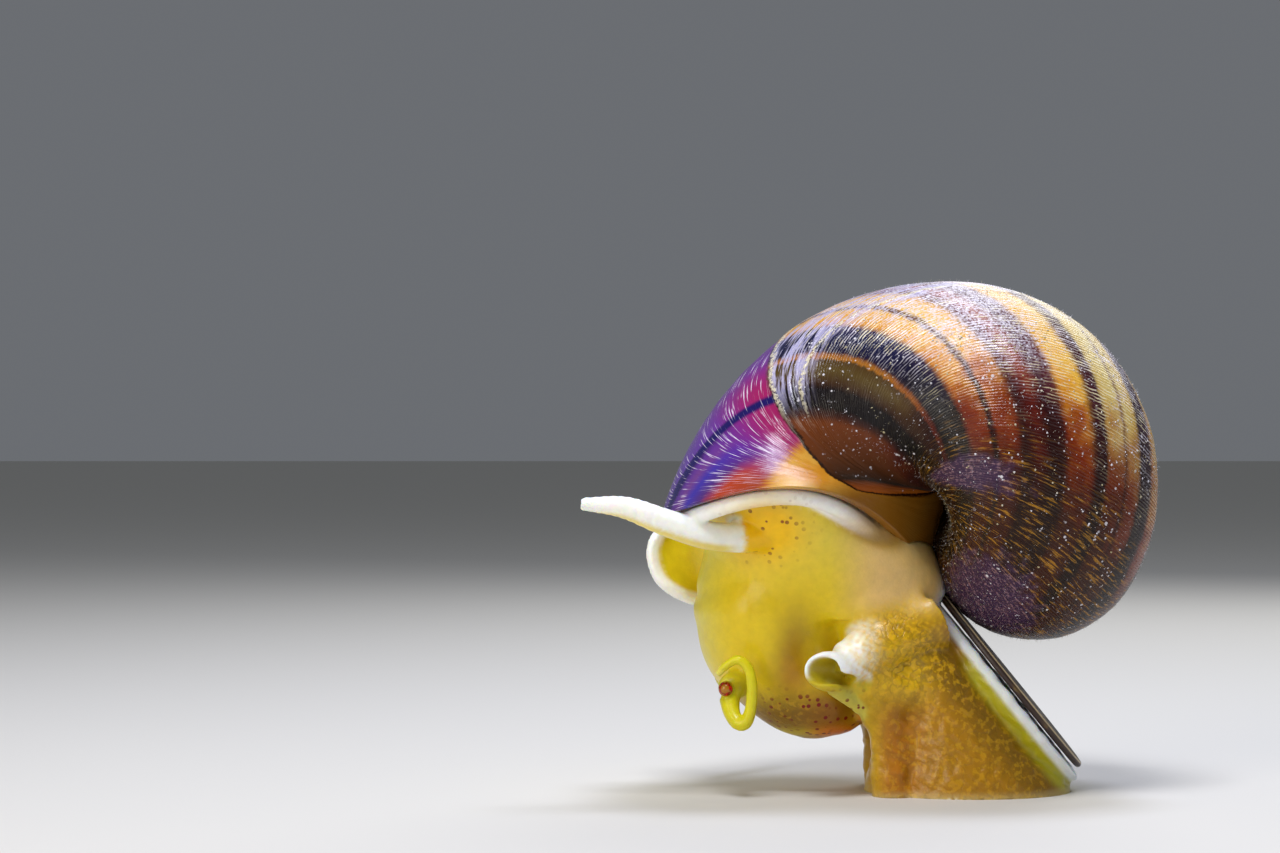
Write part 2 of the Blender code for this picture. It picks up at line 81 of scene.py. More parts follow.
def ease(low: float, high: float, value: np.ndarray) -> np.ndarray:
    """A smooth rise from 0 at low to 1 at high, or a fall where low is the larger.

    Args:
        low: where the result is 0.
        high: where the result is 1.
        value: the places to work out.

    Returns:
        3t^2 - 2t^3 of the clipped fraction t.
    """
    t = np.clip((value - low) / (high - low), 0.0, 1.0)
    return t * t * (3 - 2 * t)


def bump_at(value: np.ndarray, centre: float, spread: float) -> np.ndarray:
    """A bell curve: exp(-((value - centre) / spread)^2)."""
    return np.exp(-(((value - centre) / spread) ** 2))


def smooth_rows(rows: tuple, count: int) -> np.ndarray:
    """Rows on the Catmull-Rom curve through the given rows, evenly spaced in parameter.

    Args:
        rows: points of any number of columns.
        count: how many rows to return.

    Returns:
        An array of count rows.
    """
    given = np.asarray(rows, float)
    padded = np.vstack([2 * given[0] - given[1], given, 2 * given[-1] - given[-2]])
    place = np.linspace(0, len(given) - 1, count)
    span = np.minimum(place.astype(int), len(given) - 2)
    t = (place - span)[:, None]
    before, start, end, after = (padded[span + i] for i in range(4))
    return 0.5 * (
        2 * start
        + (end - before) * t
        + (2 * before - 5 * start + 4 * end - after) * t**2
        + (3 * start - before - 3 * end + after) * t**3
    )


def on_side(rows: tuple, side: Side) -> np.ndarray:
    """Rows that are given for the right, with Y's sign for the wanted side."""
    placed = np.asarray(rows, float).copy()
    placed[:, 1] *= side.value
    return placed


class Cap(Enum):
    """How the two end rows of a grid are closed."""

    FAN = "round a point in the middle"
    STRIP = "straight across a folded row"


@dataclass
class Surface:
    """Points in millimetres and the faces between them, ready to become a mesh."""

    points: np.ndarray
    faces: list[np.ndarray]

    @staticmethod
    def grid(points: np.ndarray, cap: Cap | None = Cap.FAN) -> "Surface":
        """A grid of points joined by quads, round in its second direction.

        Args:
            points: rows by columns by 3.
            cap: how the end rows are closed; None joins the last row to the first.

        Returns:
            The closed surface.
        """
        rows, columns = points.shape[:2]
        row, column = np.meshgrid(np.arange(rows - 1 if cap else rows), np.arange(columns), indexing="ij")
        ahead = (row + 1) % rows * columns
        aside = (column + 1) % columns
        quads = np.stack([row * columns + column, row * columns + aside, ahead + aside, ahead + column], -1)
        flat = points.reshape(-1, 3)
        faces = [quads.reshape(-1, 4)]
        end = (rows - 1) * columns
        if cap is Cap.FAN:
            around = np.arange(columns)
            first, last = np.full(columns, len(flat)), np.full(columns, len(flat) + 1)
            faces.append(np.stack([first, np.roll(around, -1), around], -1))
            faces.append(np.stack([last, end + around, end + np.roll(around, -1)], -1))
            flat = np.vstack([flat, points[0].mean(axis=0), points[-1].mean(axis=0)])
        elif cap is Cap.STRIP:
            near = np.arange(columns // 2 - 1)
            far = columns - 1 - near
            faces.append(np.stack([near, far, far - 1, near + 1], -1))
            faces.append(end + np.stack([near + 1, far - 1, far, near], -1))
        return Surface(flat, faces)

    @staticmethod
    def joined(parts: list["Surface"]) -> "Surface":
        """Several surfaces as one, none of their points shared."""
        start, faces = 0, []
        for part in parts:
            faces += [face + start for face in part.faces]
            start += len(part.points)
        return Surface(np.vstack([part.points for part in parts]), faces)

    def to_object(self, name: str) -> bpy.types.Object:
        """A scene object with this surface as its mesh, in metres.

        Args:
            name: the object's name.

        Returns:
            The object, at the origin.
        """
        sizes = np.concatenate([np.full(len(face), face.shape[1]) for face in self.faces])
        corners = np.concatenate([face.reshape(-1) for face in self.faces])
        mesh = bpy.data.meshes.new(name)
        mesh.vertices.add(len(self.points))
        mesh.vertices.foreach_set("co", (self.points * MM).astype(np.float32).reshape(-1))
        mesh.loops.add(len(corners))
        mesh.loops.foreach_set("vertex_index", corners.astype(np.int32))
        mesh.polygons.add(len(sizes))
        starts = np.concatenate([[0], np.cumsum(sizes)[:-1]])
        mesh.polygons.foreach_set("loop_start", starts.astype(np.int32))
        mesh.update(calc_edges=True)
        mesh.validate()
        made = bpy.data.objects.new(name, mesh)
        bpy.context.scene.collection.objects.link(made)
        return made


def points_of(piece: bpy.types.Object) -> np.ndarray:
    """The object's vertices in millimetres, as rows of three."""
    values = np.empty(len(piece.data.vertices) * 3, np.float32)
    piece.data.vertices.foreach_get("co", values)
    return values.reshape(-1, 3).astype(float) / MM


def normals_of(piece: bpy.types.Object) -> np.ndarray:
    """The object's vertex normals, as rows of three."""
    values = np.empty(len(piece.data.vertices) * 3, np.float32)
    piece.data.vertex_normals.foreach_get("vector", values)
    return values.reshape(-1, 3).astype(float)


def move_points(piece: bpy.types.Object, points: np.ndarray) -> None:
    """Puts the object's vertices at the given places in millimetres."""
    piece.data.vertices.foreach_set("co", (points * MM).astype(np.float32).reshape(-1))
    piece.data.update()


def settle(piece: bpy.types.Object) -> None:
    """Turns the object's modifiers into plain mesh."""
    bpy.context.view_layer.update()
    graph = bpy.context.evaluated_depsgraph_get()
    mesh = bpy.data.meshes.new_from_object(piece.evaluated_get(graph))
    mesh.materials.clear()
    piece.modifiers.clear()
    old, piece.data = piece.data, mesh
    bpy.data.meshes.remove(old)


def put_values(piece: bpy.types.Object, name: str, values: np.ndarray) -> None:
    """Stores one number, or one linear colour, for each vertex.

    Args:
        piece: the object.
        name: the attribute's name, which its material reads.
        values: one value, or three, for each vertex.
    """
    if values.ndim == 1:
        layer = piece.data.attributes.new(name, "FLOAT", "POINT")
        layer.data.foreach_set("value", values.astype(np.float32))
        return
    layer = piece.data.attributes.new(name, "FLOAT_COLOR", "POINT")
    filled = np.column_stack([values, np.ones(len(values))])
    layer.data.foreach_set("color", filled.astype(np.float32).reshape(-1))


def shade_round(piece: bpy.types.Object) -> None:
    """Shades every face smooth."""
    piece.data.polygons.foreach_set("use_smooth", np.ones(len(piece.data.polygons), bool))
    piece.data.update()


# Short words for the kinds of node used here: the node, its properties, the inputs that its feeds go
# to in turn, and the output it is read from. Any other word is an operation of the Math node.
NODE_WORDS = {
    "mix": ("Mix", {"data_type": "RGBA"}, (0, 6, 7), 2),
    "rise": ("MapRange", {"interpolation_type": "SMOOTHSTEP"}, (0, 1, 2), 0),
    "noise": ("TexNoise", {}, ("Vector", "Scale", "Detail", "Roughness"), "Fac"),
    "cells": ("TexVoronoi", {}, ("Vector", "Scale"), "Distance"),
    "stretch": ("Mapping", {}, ("Vector", "Scale"), 0),
    "ramp": ("ValToRGB", {}, ("Fac",), "Color"),
    "tone": ("HueSaturation", {}, ("Color", "Hue", "Saturation", "Value"), 0),
    "place": ("TexCoord", {}, (), "Object"),
    "map": ("UVMap", {}, (), 0),
    "painted": ("Attribute", {}, (), "Fac"),
    "axes": ("SeparateXYZ", {}, (0,), 0),
    "channels": ("SeparateColor", {}, (0,), 0),
    "bump": ("Bump", {}, ("Height", "Strength", "Distance"), 0),
}
Feed = float | tuple | str | bpy.types.NodeSocket


def add_node(
    material: bpy.types.Material, word: str, *feeds: Feed,
    out: int | str | None = None, **settings: str | bool
) -> bpy.types.NodeSocket:
    """Adds a node to a material, with its settings and links.

    Args:
        material: the material.
        word: the kind of node, from NODE_WORDS, or an operation of the Math node.
        *feeds: one for each input in turn: a socket to link, a value, or a colour as sRGB hex.
        out: the output to return, where it isn't the word's own.
        **settings: further properties of the node.

    Returns:
        The output socket.
    """
    kind, fixed, places, usual = NODE_WORDS.get(word, ("Math", {"operation": word}, (0, 1, 2), 0))
    node = material.node_tree.nodes.new("ShaderNode" + kind)
    for name, value in (fixed | settings).items():
        setattr(node, name, value)
    for place, feed in zip(places, feeds):
        if isinstance(feed, bpy.types.NodeSocket):
            material.node_tree.links.new(feed, node.inputs[place])
        else:
            node.inputs[place].default_value = linear(feed) if isinstance(feed, str) else feed
    return node.outputs[usual if out is None else out]


def fill_ramp(colour: bpy.types.NodeSocket, stops: tuple, low: float = 0.0, high: float = 1.0) -> None:
    """Fills the colour ramp that the socket belongs to.

    Args:
        colour: the ramp's output.
        stops: places with their sRGB hex colours.
        low: the place that is the ramp's 0.
        high: the place that is its 1.
    """
    elements = colour.node.color_ramp.elements
    while len(elements) > 1:
        elements.remove(elements[-1])
    elements[0].position = (stops[0][0] - low) / (high - low)
    elements[0].color = linear(stops[0][1])
    for place, code in stops[1:]:
        elements.new((place - low) / (high - low)).color = linear(code)


def new_material(name: str) -> tuple[bpy.types.Material, Callable[..., bpy.types.NodeSocket]]:
    """A node material, and the function that adds nodes to it."""
    material = bpy.data.materials.new(name)
    material.use_nodes = True
    return material, partial(add_node, material)


def wire_shader(material: bpy.types.Material, feeds: dict[str, Feed]) -> None:
    """Links sockets to the Principled shader's inputs, or sets the inputs' values."""
    shader = material.node_tree.nodes["Principled BSDF"]
    for name, feed in feeds.items():
        if isinstance(feed, bpy.types.NodeSocket):
            material.node_tree.links.new(feed, shader.inputs[name])
        else:
            shader.inputs[name].default_value = linear(feed) if isinstance(feed, str) else feed


# ---- Shell


@dataclass(frozen=True)
class WhorlForm:
    """The coiled tube: an oval section carried along a logarithmic spiral, dextral."""

    growth: float = 2.45
    axis_foot: tuple = (-5.7, -8.0, 28.7)
    axis_heading: float = 50.0
    axis_rise: float = -5.5
    reach: float = 13.0
    apex_drop: float = 28.0
    radius: float = 11.6
    half_height: float = 16.5
    tilt: float = -24.0
    egg: float = -0.075
    mouth_phase: float = 269.7
    lip_slant: float = -17.5
    inner_lip_reach: float = 6.1
    inner_lip_place: float = 170.0
    inner_lip_spread: float = 0.75
    inner_lip_run: float = 0.9
    band_drift: float = 0.22
    drift_end: float = 220.0

    def axes(self) -> tuple[np.ndarray, np.ndarray, np.ndarray]:
        """Unit directions: towards the apex, and two across the axis."""
        heading, rise = np.radians((self.axis_heading, self.axis_rise))
        apex = np.array((np.sin(heading) * np.cos(rise), np.cos(heading) * np.cos(rise), np.sin(rise)))
        across = np.array((0.0, 0.0, 1.0)) - apex * apex[2]
        across /= np.linalg.norm(across)
        return apex, across, np.cross(apex, across)

    def place(self, back: np.ndarray, girth: np.ndarray, inset: np.ndarray | float = 0.0) -> np.ndarray:
        """Places on the tube.

        The section is an oval of the given radius and half height, tilted in the plane that holds the
        axis. Its size and its distance from the axis grow by the same factor with each turn, and a
        growth line leans round the turn with the sine of the girth. The inner lip runs on past the
        rest near the mouth.

        Args:
            back: degrees of turn behind the lip.
            girth: degrees round the section: 0 is outward, 90 towards the apex.
            inset: distance inside the surface.

        Returns:
            Points, with one more dimension than the arguments.
        """
        apex, across, along = self.axes()
        turn, around = np.radians(-back), np.radians(girth)
        tilt, slant, phase = np.radians((self.tilt, self.lip_slant, self.mouth_phase))
        width = (self.radius - inset) * np.cos(around) * (1 + self.egg * np.sin(around))
        height = (self.half_height - inset) * np.sin(around)
        out = width * np.cos(tilt) - height * np.sin(tilt)
        rise = width * np.sin(tilt) + height * np.cos(tilt)
        scale = self.growth ** ((turn + slant * np.sin(around)) / TURN)
        bearing = phase - turn - slant * np.sin(around)
        outward = np.cos(bearing)[..., None] * across + np.sin(bearing)[..., None] * along
        onward = np.cross(np.cos(phase) * across + np.sin(phase) * along, apex)
        offset = (around - np.radians(self.inner_lip_place) + np.pi) % TURN - np.pi
        reach = self.inner_lip_reach * np.exp(-((offset / self.inner_lip_spread) ** 2))
        reach = reach * np.clip(1 + turn / self.inner_lip_run, 0, 1.3) ** 1.5
        return (
            np.array(self.axis_foot)
            + (scale * (self.reach + out))[..., None] * outward
            + (scale * (rise - self.apex_drop) + self.apex_drop)[..., None] * apex
            + reach[..., None] * onward
        )

    def band(self, back: np.ndarray, girth: np.ndarray) -> np.ndarray:
        """The band that a place lies in: its girth, less the bands' slow drift round the tube."""
        return girth + self.band_drift * np.minimum(back, self.drift_end)


WHORLS = WhorlForm()


@dataclass(frozen=True)
class ShellMarks:
    """Where the shell's growth stopped and started again, in degrees behind the lip and round the tube."""

    # New growth starts here: girth, degrees behind the lip
    restart: tuple = ((-175, 40), (-155, 34), (-137, 18), (-122, 36), (-108, 54), (-91, 63), (-68, 63.5),
                      (-45, 60), (-20, 55), (40, 46), (130, 40))
    halt_back: float = 76.8
    halt_girth: float = -80.0
    halt_bend: float = 0.0027
    amber_girth: float = -106.0
    amber_drift: float = 0.2
    amber_far: float = 128.0

    def fresh(self, back: np.ndarray, girth: np.ndarray) -> np.ndarray:
        """Degrees of turn from the restart; negative in the new growth."""
        places, turns = np.array(self.restart).T
        return back - np.interp(girth, places, turns)

    def halt(self, back: np.ndarray, girth: np.ndarray) -> np.ndarray:
        """Degrees of turn from the older halt, whose line bends forward at both ends."""
        bend = np.minimum(self.halt_bend * (girth - self.halt_girth) ** 2, 12.0)
        return back - self.halt_back - bend

    def amber(self, back: np.ndarray, girth: np.ndarray) -> np.ndarray:
        """Degrees round the tube from the edge of the bare amber base; negative in it and by the axis."""
        base = girth - self.amber_girth - self.amber_drift * np.minimum(back, 90)
        return np.minimum(base, self.amber_far - girth)


MARKS = ShellMarks()


@dataclass(frozen=True)
class PeriostracumOverLime:
    """Apple snail shell: a thin horny skin over lime, laid down line by line at the lip.

    It gives wet gloss on the new growth, which is violet with indigo bands and fine pale lines; older
    parts are duller, straw and purple-brown in bands, dusted and speckled with lime deposits, with a
    painted highlight on the top of the ball and on the ridges there.
    """

    old_bands: tuple = (
        (-175, "#7A4A14"), (-150, "#A85A17"), (-128, "#8A4312"), (-116, "#2A1B0E"),
        (-90, "#5C3012"), (-68, "#6B3412"), (-64, "#3A1A10"), (-60, "#0C0608"), (-50, "#0E070C"),
        (-47, "#3A2414"), (-40, "#54431E"), (-35, "#4A3416"), (-33.4, "#B06E1C"),
        (-30.6, "#120E2C"), (-22, "#10123A"), (-17, "#241440"), (-14, "#D08E28"), (-5, "#E0A838"),
        (-3.4, "#4A1A1C"), (-2, "#4A1A1C"), (-0.4, "#E6B448"), (8, "#DEA234"), (11, "#4E1C26"),
        (18, "#94482C"), (24, "#4A1C2C"), (30, "#5A2630"), (33, "#E0A62E"), (43, "#E4B23C"),
        (46, "#46161E"), (53, "#3A121E"),
    )
    far_bands: tuple = (
        (50, "#3A121E"), (54, "#CDAE5C"), (62, "#D9C27A"), (64, "#7A5238"), (66, "#D9C074"), (73, "#CBA550"),
        (76, "#2E1026"), (86, "#3A162A"), (90, "#CC9A3C"), (102, "#D6A846"), (105, "#481C22"),
        (112, "#522424"), (116, "#BE8F40"), (140, "#A87C34"), (160, "#6A3E20"), (200, "#4A2A16"),
    )
    new_bands: tuple = (
        (-100, "#963A1A"), (-86, "#A83A1C"), (-78, "#4C2A6E"), (-70, "#3B2F96"), (-64, "#6A3A80"),
        (-59, "#5A2F88"), (-55.5, "#120E4A"), (-51.5, "#120E40"), (-49, "#5C3A96"), (-30, "#6A48A0"),
        (-12, "#523488"), (0, "#C9A060"), (12, "#5C2F50"), (30, "#7A4C78"), (44, "#BF9A5A"), (56, "#50264C"),
        (70, "#8E6A86"), (90, "#A98450"), (120, "#7A4A3C"),
    )
    band_from: float = -180.0
    band_to: float = 210.0
    riblet_degrees: float = 1.25
    coarse_mm: float = 3.0
    middle_mm: float = 0.9
    fine_mm: float = 0.25
    patch_mm: float = 2.2
    speck_mm: float = 0.75
    dot_mm: float = 0.34
    violet: str = "#66288A"
    crimson: str = "#961C5A"
    indigo: str = "#1A1058"
    amber: str = "#C8841C"
    amber_pale: str = "#D8A848"
    amber_in_shade: str = "#7C4E10"
    # A darker amber: painted shade on the base towards the axis
    line_dark: str = "#2C1608"
    ember: str = "#F09A5C"
    rust: str = "#8E5232"
    olive: str = "#1E0E04"
    olive_dust: str = "#A8781E"
    scar: str = "#3E2746"
    scar_dust: str = "#8A6A78"
    # Lime dust, also the colour of the painted highlights on the ridges and on the top of the ball
    dust_and_sheen: str = "#E6DEE8"
    warm_dust_and_sheen: str = "#EFE2B4"
    deposit: str = "#E9E6EE"
    stain: str = "#8C8CD0"
    halt_pale: str = "#E0D6B8"
    hair_line: str = "#EFE4F6"

    def make(self) -> bpy.types.Material:
        """Builds the material. It reads the whorl map (degrees behind the lip and band, in hundreds)."""
        material, add = new_material("periostracum_over_lime")
        whorl, where = add("map", uv_map="whorl"), add("place")
        back = add("MULTIPLY", add("axes", whorl, out="X"), 100.0)
        band = add("MULTIPLY", add("axes", whorl, out="Y"), 100.0)
        fresh, halt, amber, scar = (
            add("painted", attribute_name=name) for name in ("fresh", "halt", "amber", "scar")
        )
        coarse = add("noise", where, 1 / (self.coarse_mm * MM), 3.0)
        middle = add("noise", where, 1 / (self.middle_mm * MM), 3.0)
        fine = add("noise", where, 1 / (self.fine_mm * MM), 4.0)
        # Streaks that follow the growth lines: narrow along the turn, long across it
        streak = add("noise", add("stretch", whorl, (1.0, 0.10, 1.0)), 62.0, 4.0)
        drift = add("noise", add("stretch", whorl, (0.12, 1.0, 1.0)), 10.0, 3.0)
        wavy = add("ADD", band, add("MULTIPLY_ADD", middle, 2.4, -1.2))
        wavy = add("ADD", wavy, add("MULTIPLY_ADD", streak, 3.0, -1.5))
        span = self.band_to - self.band_from
        across = add("MULTIPLY_ADD", wavy, 1 / span, -self.band_from / span)
        old_ramp, far_ramp, new_ramp = ramps = [add("ramp", across) for _ in range(3)]
        for ramp, stops in zip(ramps, (self.old_bands, self.far_bands, self.new_bands)):
            fill_ramp(ramp, stops, self.band_from, self.band_to)

        old = add("mix", add("rise", wavy, 51.0, 53.0), old_ramp, far_ramp)
        # Away from the lip the bands deepen: gold to orange, purple to maroon, then dark red-brown
        gone = add("ADD", back, add("MULTIPLY_ADD", coarse, 50.0, -25.0))
        sunk = add("MULTIPLY_ADD", add("MAXIMUM", band, 0.0), -0.28, gone)
        drift = add("MULTIPLY_ADD", drift, 1.6, -0.2, use_clamp=True)
        deep = add("MULTIPLY", add("rise", sunk, 110.0, 150.0), drift)
        old = add("mix", deep, old, self.ember, blend_type="MULTIPLY")
        old = add("mix", add("rise", sunk, 118.0, 158.0), old, self.rust, blend_type="MULTIPLY")
        # The newest growth: violet, crimson next to the restart, an indigo band, a bare amber base that
        # darkens with painted shade towards the axis
        hidden = add("MULTIPLY_ADD", add("rise", band, -14.0, 14.0), -0.75, 1.0)
        new = add("mix", add("MULTIPLY", add("rise", fresh, -50.0, -12.0), hidden), new_ramp, self.violet)
        red = add("MULTIPLY", add("rise", fresh, -30.0, -6.0), add("rise", band, -22.0, -46.0))
        new = add("mix", red, new, self.crimson)
        inner = add("mix", add("rise", band, -49.0, -51.5), new, self.indigo)
        new = add("mix", add("rise", band, -56.5, -54.0), new, inner)
        bare = add("mix", add("rise", coarse, 0.35, 0.7), self.amber, self.amber_pale)
        # Painted shade: the amber base darker towards the axis, on the whorl's underside
        bare = add("mix", add("MULTIPLY", add("rise", wavy, -112.0, -142.0), 0.92), bare, self.amber_in_shade)
        edge = add("ADD", amber, add("MULTIPLY_ADD", streak, 9.0, -4.5))
        new = add("mix", add("rise", edge, -4.0, 3.0), bare, new)
        ragged = add("ADD", fresh, add("MULTIPLY_ADD", fine, 5.0, -2.5))
        colour = add("mix", add("rise", ragged, -1.5, 1.2), new, old)
        # The oldest part in view: dark olive-brown, ochre flecks along the growth lines, a rubbed patch
        fleck = add("noise", add("stretch", whorl, (1.0, 0.1, 1.0)), 70.0, 4.0, 0.7)
        dusty = add("mix", add("rise", fleck, 0.53, 0.63), self.olive, self.olive_dust)
        spire = add("MULTIPLY_ADD", add("rise", back, 290.0, 400.0), -0.6, 0.84)
        colour = add("mix", add("MULTIPLY", add("rise", sunk, 150.0, 182.0), spire), colour, dusty)
        rubbed = add("rise", add("ADD", scar, add("MULTIPLY_ADD", middle, 0.8, -0.4)), 0.35, 0.75)
        scarred = add("rise", add("MULTIPLY", fleck, fine), 0.25, 0.36)
        scarred = add("mix", scarred, self.scar, self.scar_dust)
        colour = add("mix", add("MULTIPLY", rubbed, 0.9), colour, scarred)

        # Raised growth lines, their tops pale in broken dashes: partly rubbed lime, partly a painted
        # highlight of the lamp on the ridges of the upper part
        turn = add("MULTIPLY", add("ADD", back, add("MULTIPLY", middle, 1.4)), TURN / self.riblet_degrees)
        ridge = add("MULTIPLY_ADD", add("SINE", turn), 0.5, 0.5)
        grown = add("rise", fresh, 4.0, 14.0)
        # The upper part of the ball, where the pale dashes are strongest as a painted highlight and more
        # lime specks are kept
        zone = add("MULTIPLY", add("rise", sunk, 156.0, 108.0), add("rise", band, -36.0, -16.0))
        patchy = add("rise", add("noise", where, 1 / (self.patch_mm * MM), 3.0), 0.32, 0.52)
        broken = add("rise", add("noise", add("stretch", whorl, (1.0, 0.14, 1.0)), 80.0, 3.0), 0.42, 0.54)
        tops = add("MULTIPLY", add("rise", ridge, 0.5, 0.9), broken)
        shown = add("MULTIPLY", grown, add("MULTIPLY_ADD", add("MULTIPLY", zone, patchy), 0.92, 0.015))
        pale = add("mix", add("rise", coarse, 0.42, 0.58), self.warm_dust_and_sheen, self.dust_and_sheen)
        colour = add("mix", add("MULTIPLY", tops, shown), colour, pale)
        # Painted highlight: the lamp's lilac-white reflection on the top of the ball, broken up by fine
        # noise
        highlit_crest = add("MULTIPLY", add("rise", add("ABSOLUTE", add("ADD", back, -102.0)), 44.0, 12.0),
                    add("rise", add("ABSOLUTE", add("ADD", band, -14.0)), 36.0, 10.0))
        crest_highlight = add("MULTIPLY", add("MULTIPLY", highlit_crest, add("rise", fine, 0.42, 0.6)), grown)
        colour = add("mix", add("MULTIPLY", crest_highlight, 0.65), colour, self.dust_and_sheen)
        # Pale hair lines on the new growth, drawn coarser than life: finer ones break up in the render
        lines = add("noise", add("stretch", whorl, (1.0, 0.035, 1.0)), 165.0, 2.0)
        lines = add("MULTIPLY", add("rise", lines, 0.57, 0.67), add("rise", coarse, 0.3, 0.55))
        young = add("MULTIPLY", add("rise", fresh, 0.0, -3.0), add("rise", edge, -6.0, 4.0))
        lines = add("MULTIPLY", add("MULTIPLY", lines, young), add("MULTIPLY", hidden, 0.8))
        colour = add("mix", lines, colour, self.hair_line)
        # Halts in the growth: pale frayed welts, stained and dusty between them
        near_halt = add("ABSOLUTE", add("ADD", halt, add("MULTIPLY_ADD", middle, 5.0, -2.5)))
        near_start = add("ABSOLUTE", add("ADD", fresh, add("MULTIPLY_ADD", middle, 5.0, -4.0)))
        welt = add("MAXIMUM", add("rise", near_halt, 1.3, 0.3), add("rise", near_start, 1.6, 0.3))
        frayed = add("MULTIPLY", add("rise", band, -74.0, -46.0), add("rise", fine, 0.38, 0.52))
        welt = add("MULTIPLY", welt, frayed)
        between = add("MULTIPLY", add("rise", fresh, 0.0, 3.0), add("rise", halt, 8.0, -2.0))
        between = add("MULTIPLY", between, add("rise", band, -66.0, -40.0))
        stained = add("MULTIPLY", between, add("rise", streak, 0.42, 0.56))
        colour = add("mix", add("MULTIPLY", stained, 0.8), colour, add("mix", fine, self.stain, self.dust_and_sheen))
        colour = add("mix", add("MULTIPLY", welt, 0.85), colour, self.halt_pale)
        # The dark edge where the new base lies over the old
        dark = add("rise", add("ABSOLUTE", add("ADD", ragged, -0.8)), 2.6, 0.6)
        dark = add("MULTIPLY", dark, add("rise", band, -58.0, -74.0))
        colour = add("mix", dark, colour, self.line_dark)
        # Lime specks, the larger ones hollow
        cell = add("cells", where, 1 / (self.speck_mm * MM))
        lot = cell.node.outputs["Color"]
        chance = add("channels", lot, out=1)
        speck = add("rise", add("SUBTRACT", cell, add("MULTIPLY", add("channels", lot), 0.24)), 0.02, -0.05)
        hollow = add("MAXIMUM", add("rise", cell, 0.07, 0.12), add("rise", chance, 0.5, 0.45))
        speck = add("MULTIPLY", add("MULTIPLY", speck, hollow), add("rise", chance, 0.5, 0.45))
        tiny = add("cells", where, 1 / (self.dot_mm * MM))
        tiny_on = add("rise", add("channels", tiny.node.outputs["Color"], out=2), 0.32, 0.28)
        dots = add("MULTIPLY", add("rise", tiny, 0.34, 0.2), tiny_on)
        crowd = add("MULTIPLY_ADD", add("rise", coarse, 0.42, 0.56), 0.8, 0.16)
        white = add("MULTIPLY", add("MAXIMUM", speck, dots), add("MULTIPLY", grown, crowd))
        white = add("MULTIPLY", white, add("MAXIMUM", zone, add("rise", chance, 0.36, 0.26)))
        colour = add("mix", add("MULTIPLY", white, 0.9), colour, self.deposit)

        rough = add("MULTIPLY_ADD", grown, 0.07, 0.16)
        rough = add("ADD", rough, add("MULTIPLY", add("rise", gone, 150.0, 200.0), 0.14))
        rough = add("ADD", rough, add("MULTIPLY", white, 0.3))
        rough = add("ADD", rough, add("MULTIPLY_ADD", fine, 0.14, -0.07))
        height = add("MULTIPLY", ridge, add("MULTIPLY_ADD", grown, 0.8, 0.2))
        height = add("ADD", height, add("MULTIPLY", add("ADD", streak, fine), 0.6))
        height = add("ADD", height, add("MULTIPLY", add("ADD", white, welt), 1.4))
        # The old part's worn skin scatters less of the lamps' light back
        low = add("MULTIPLY", grown, add("rise", band, -14.0, -36.0))
        worn = add("MULTIPLY_ADD", add("MAXIMUM", add("rise", sunk, 130.0, 175.0), low), -0.2, 0.4)
        wire_shader(material, {
            "Base Color": colour, "Roughness": rough, "IOR": 1.53, "Specular IOR Level": worn,
            "Normal": add("bump", height, 0.6, 0.05 * MM),
        })
        return material


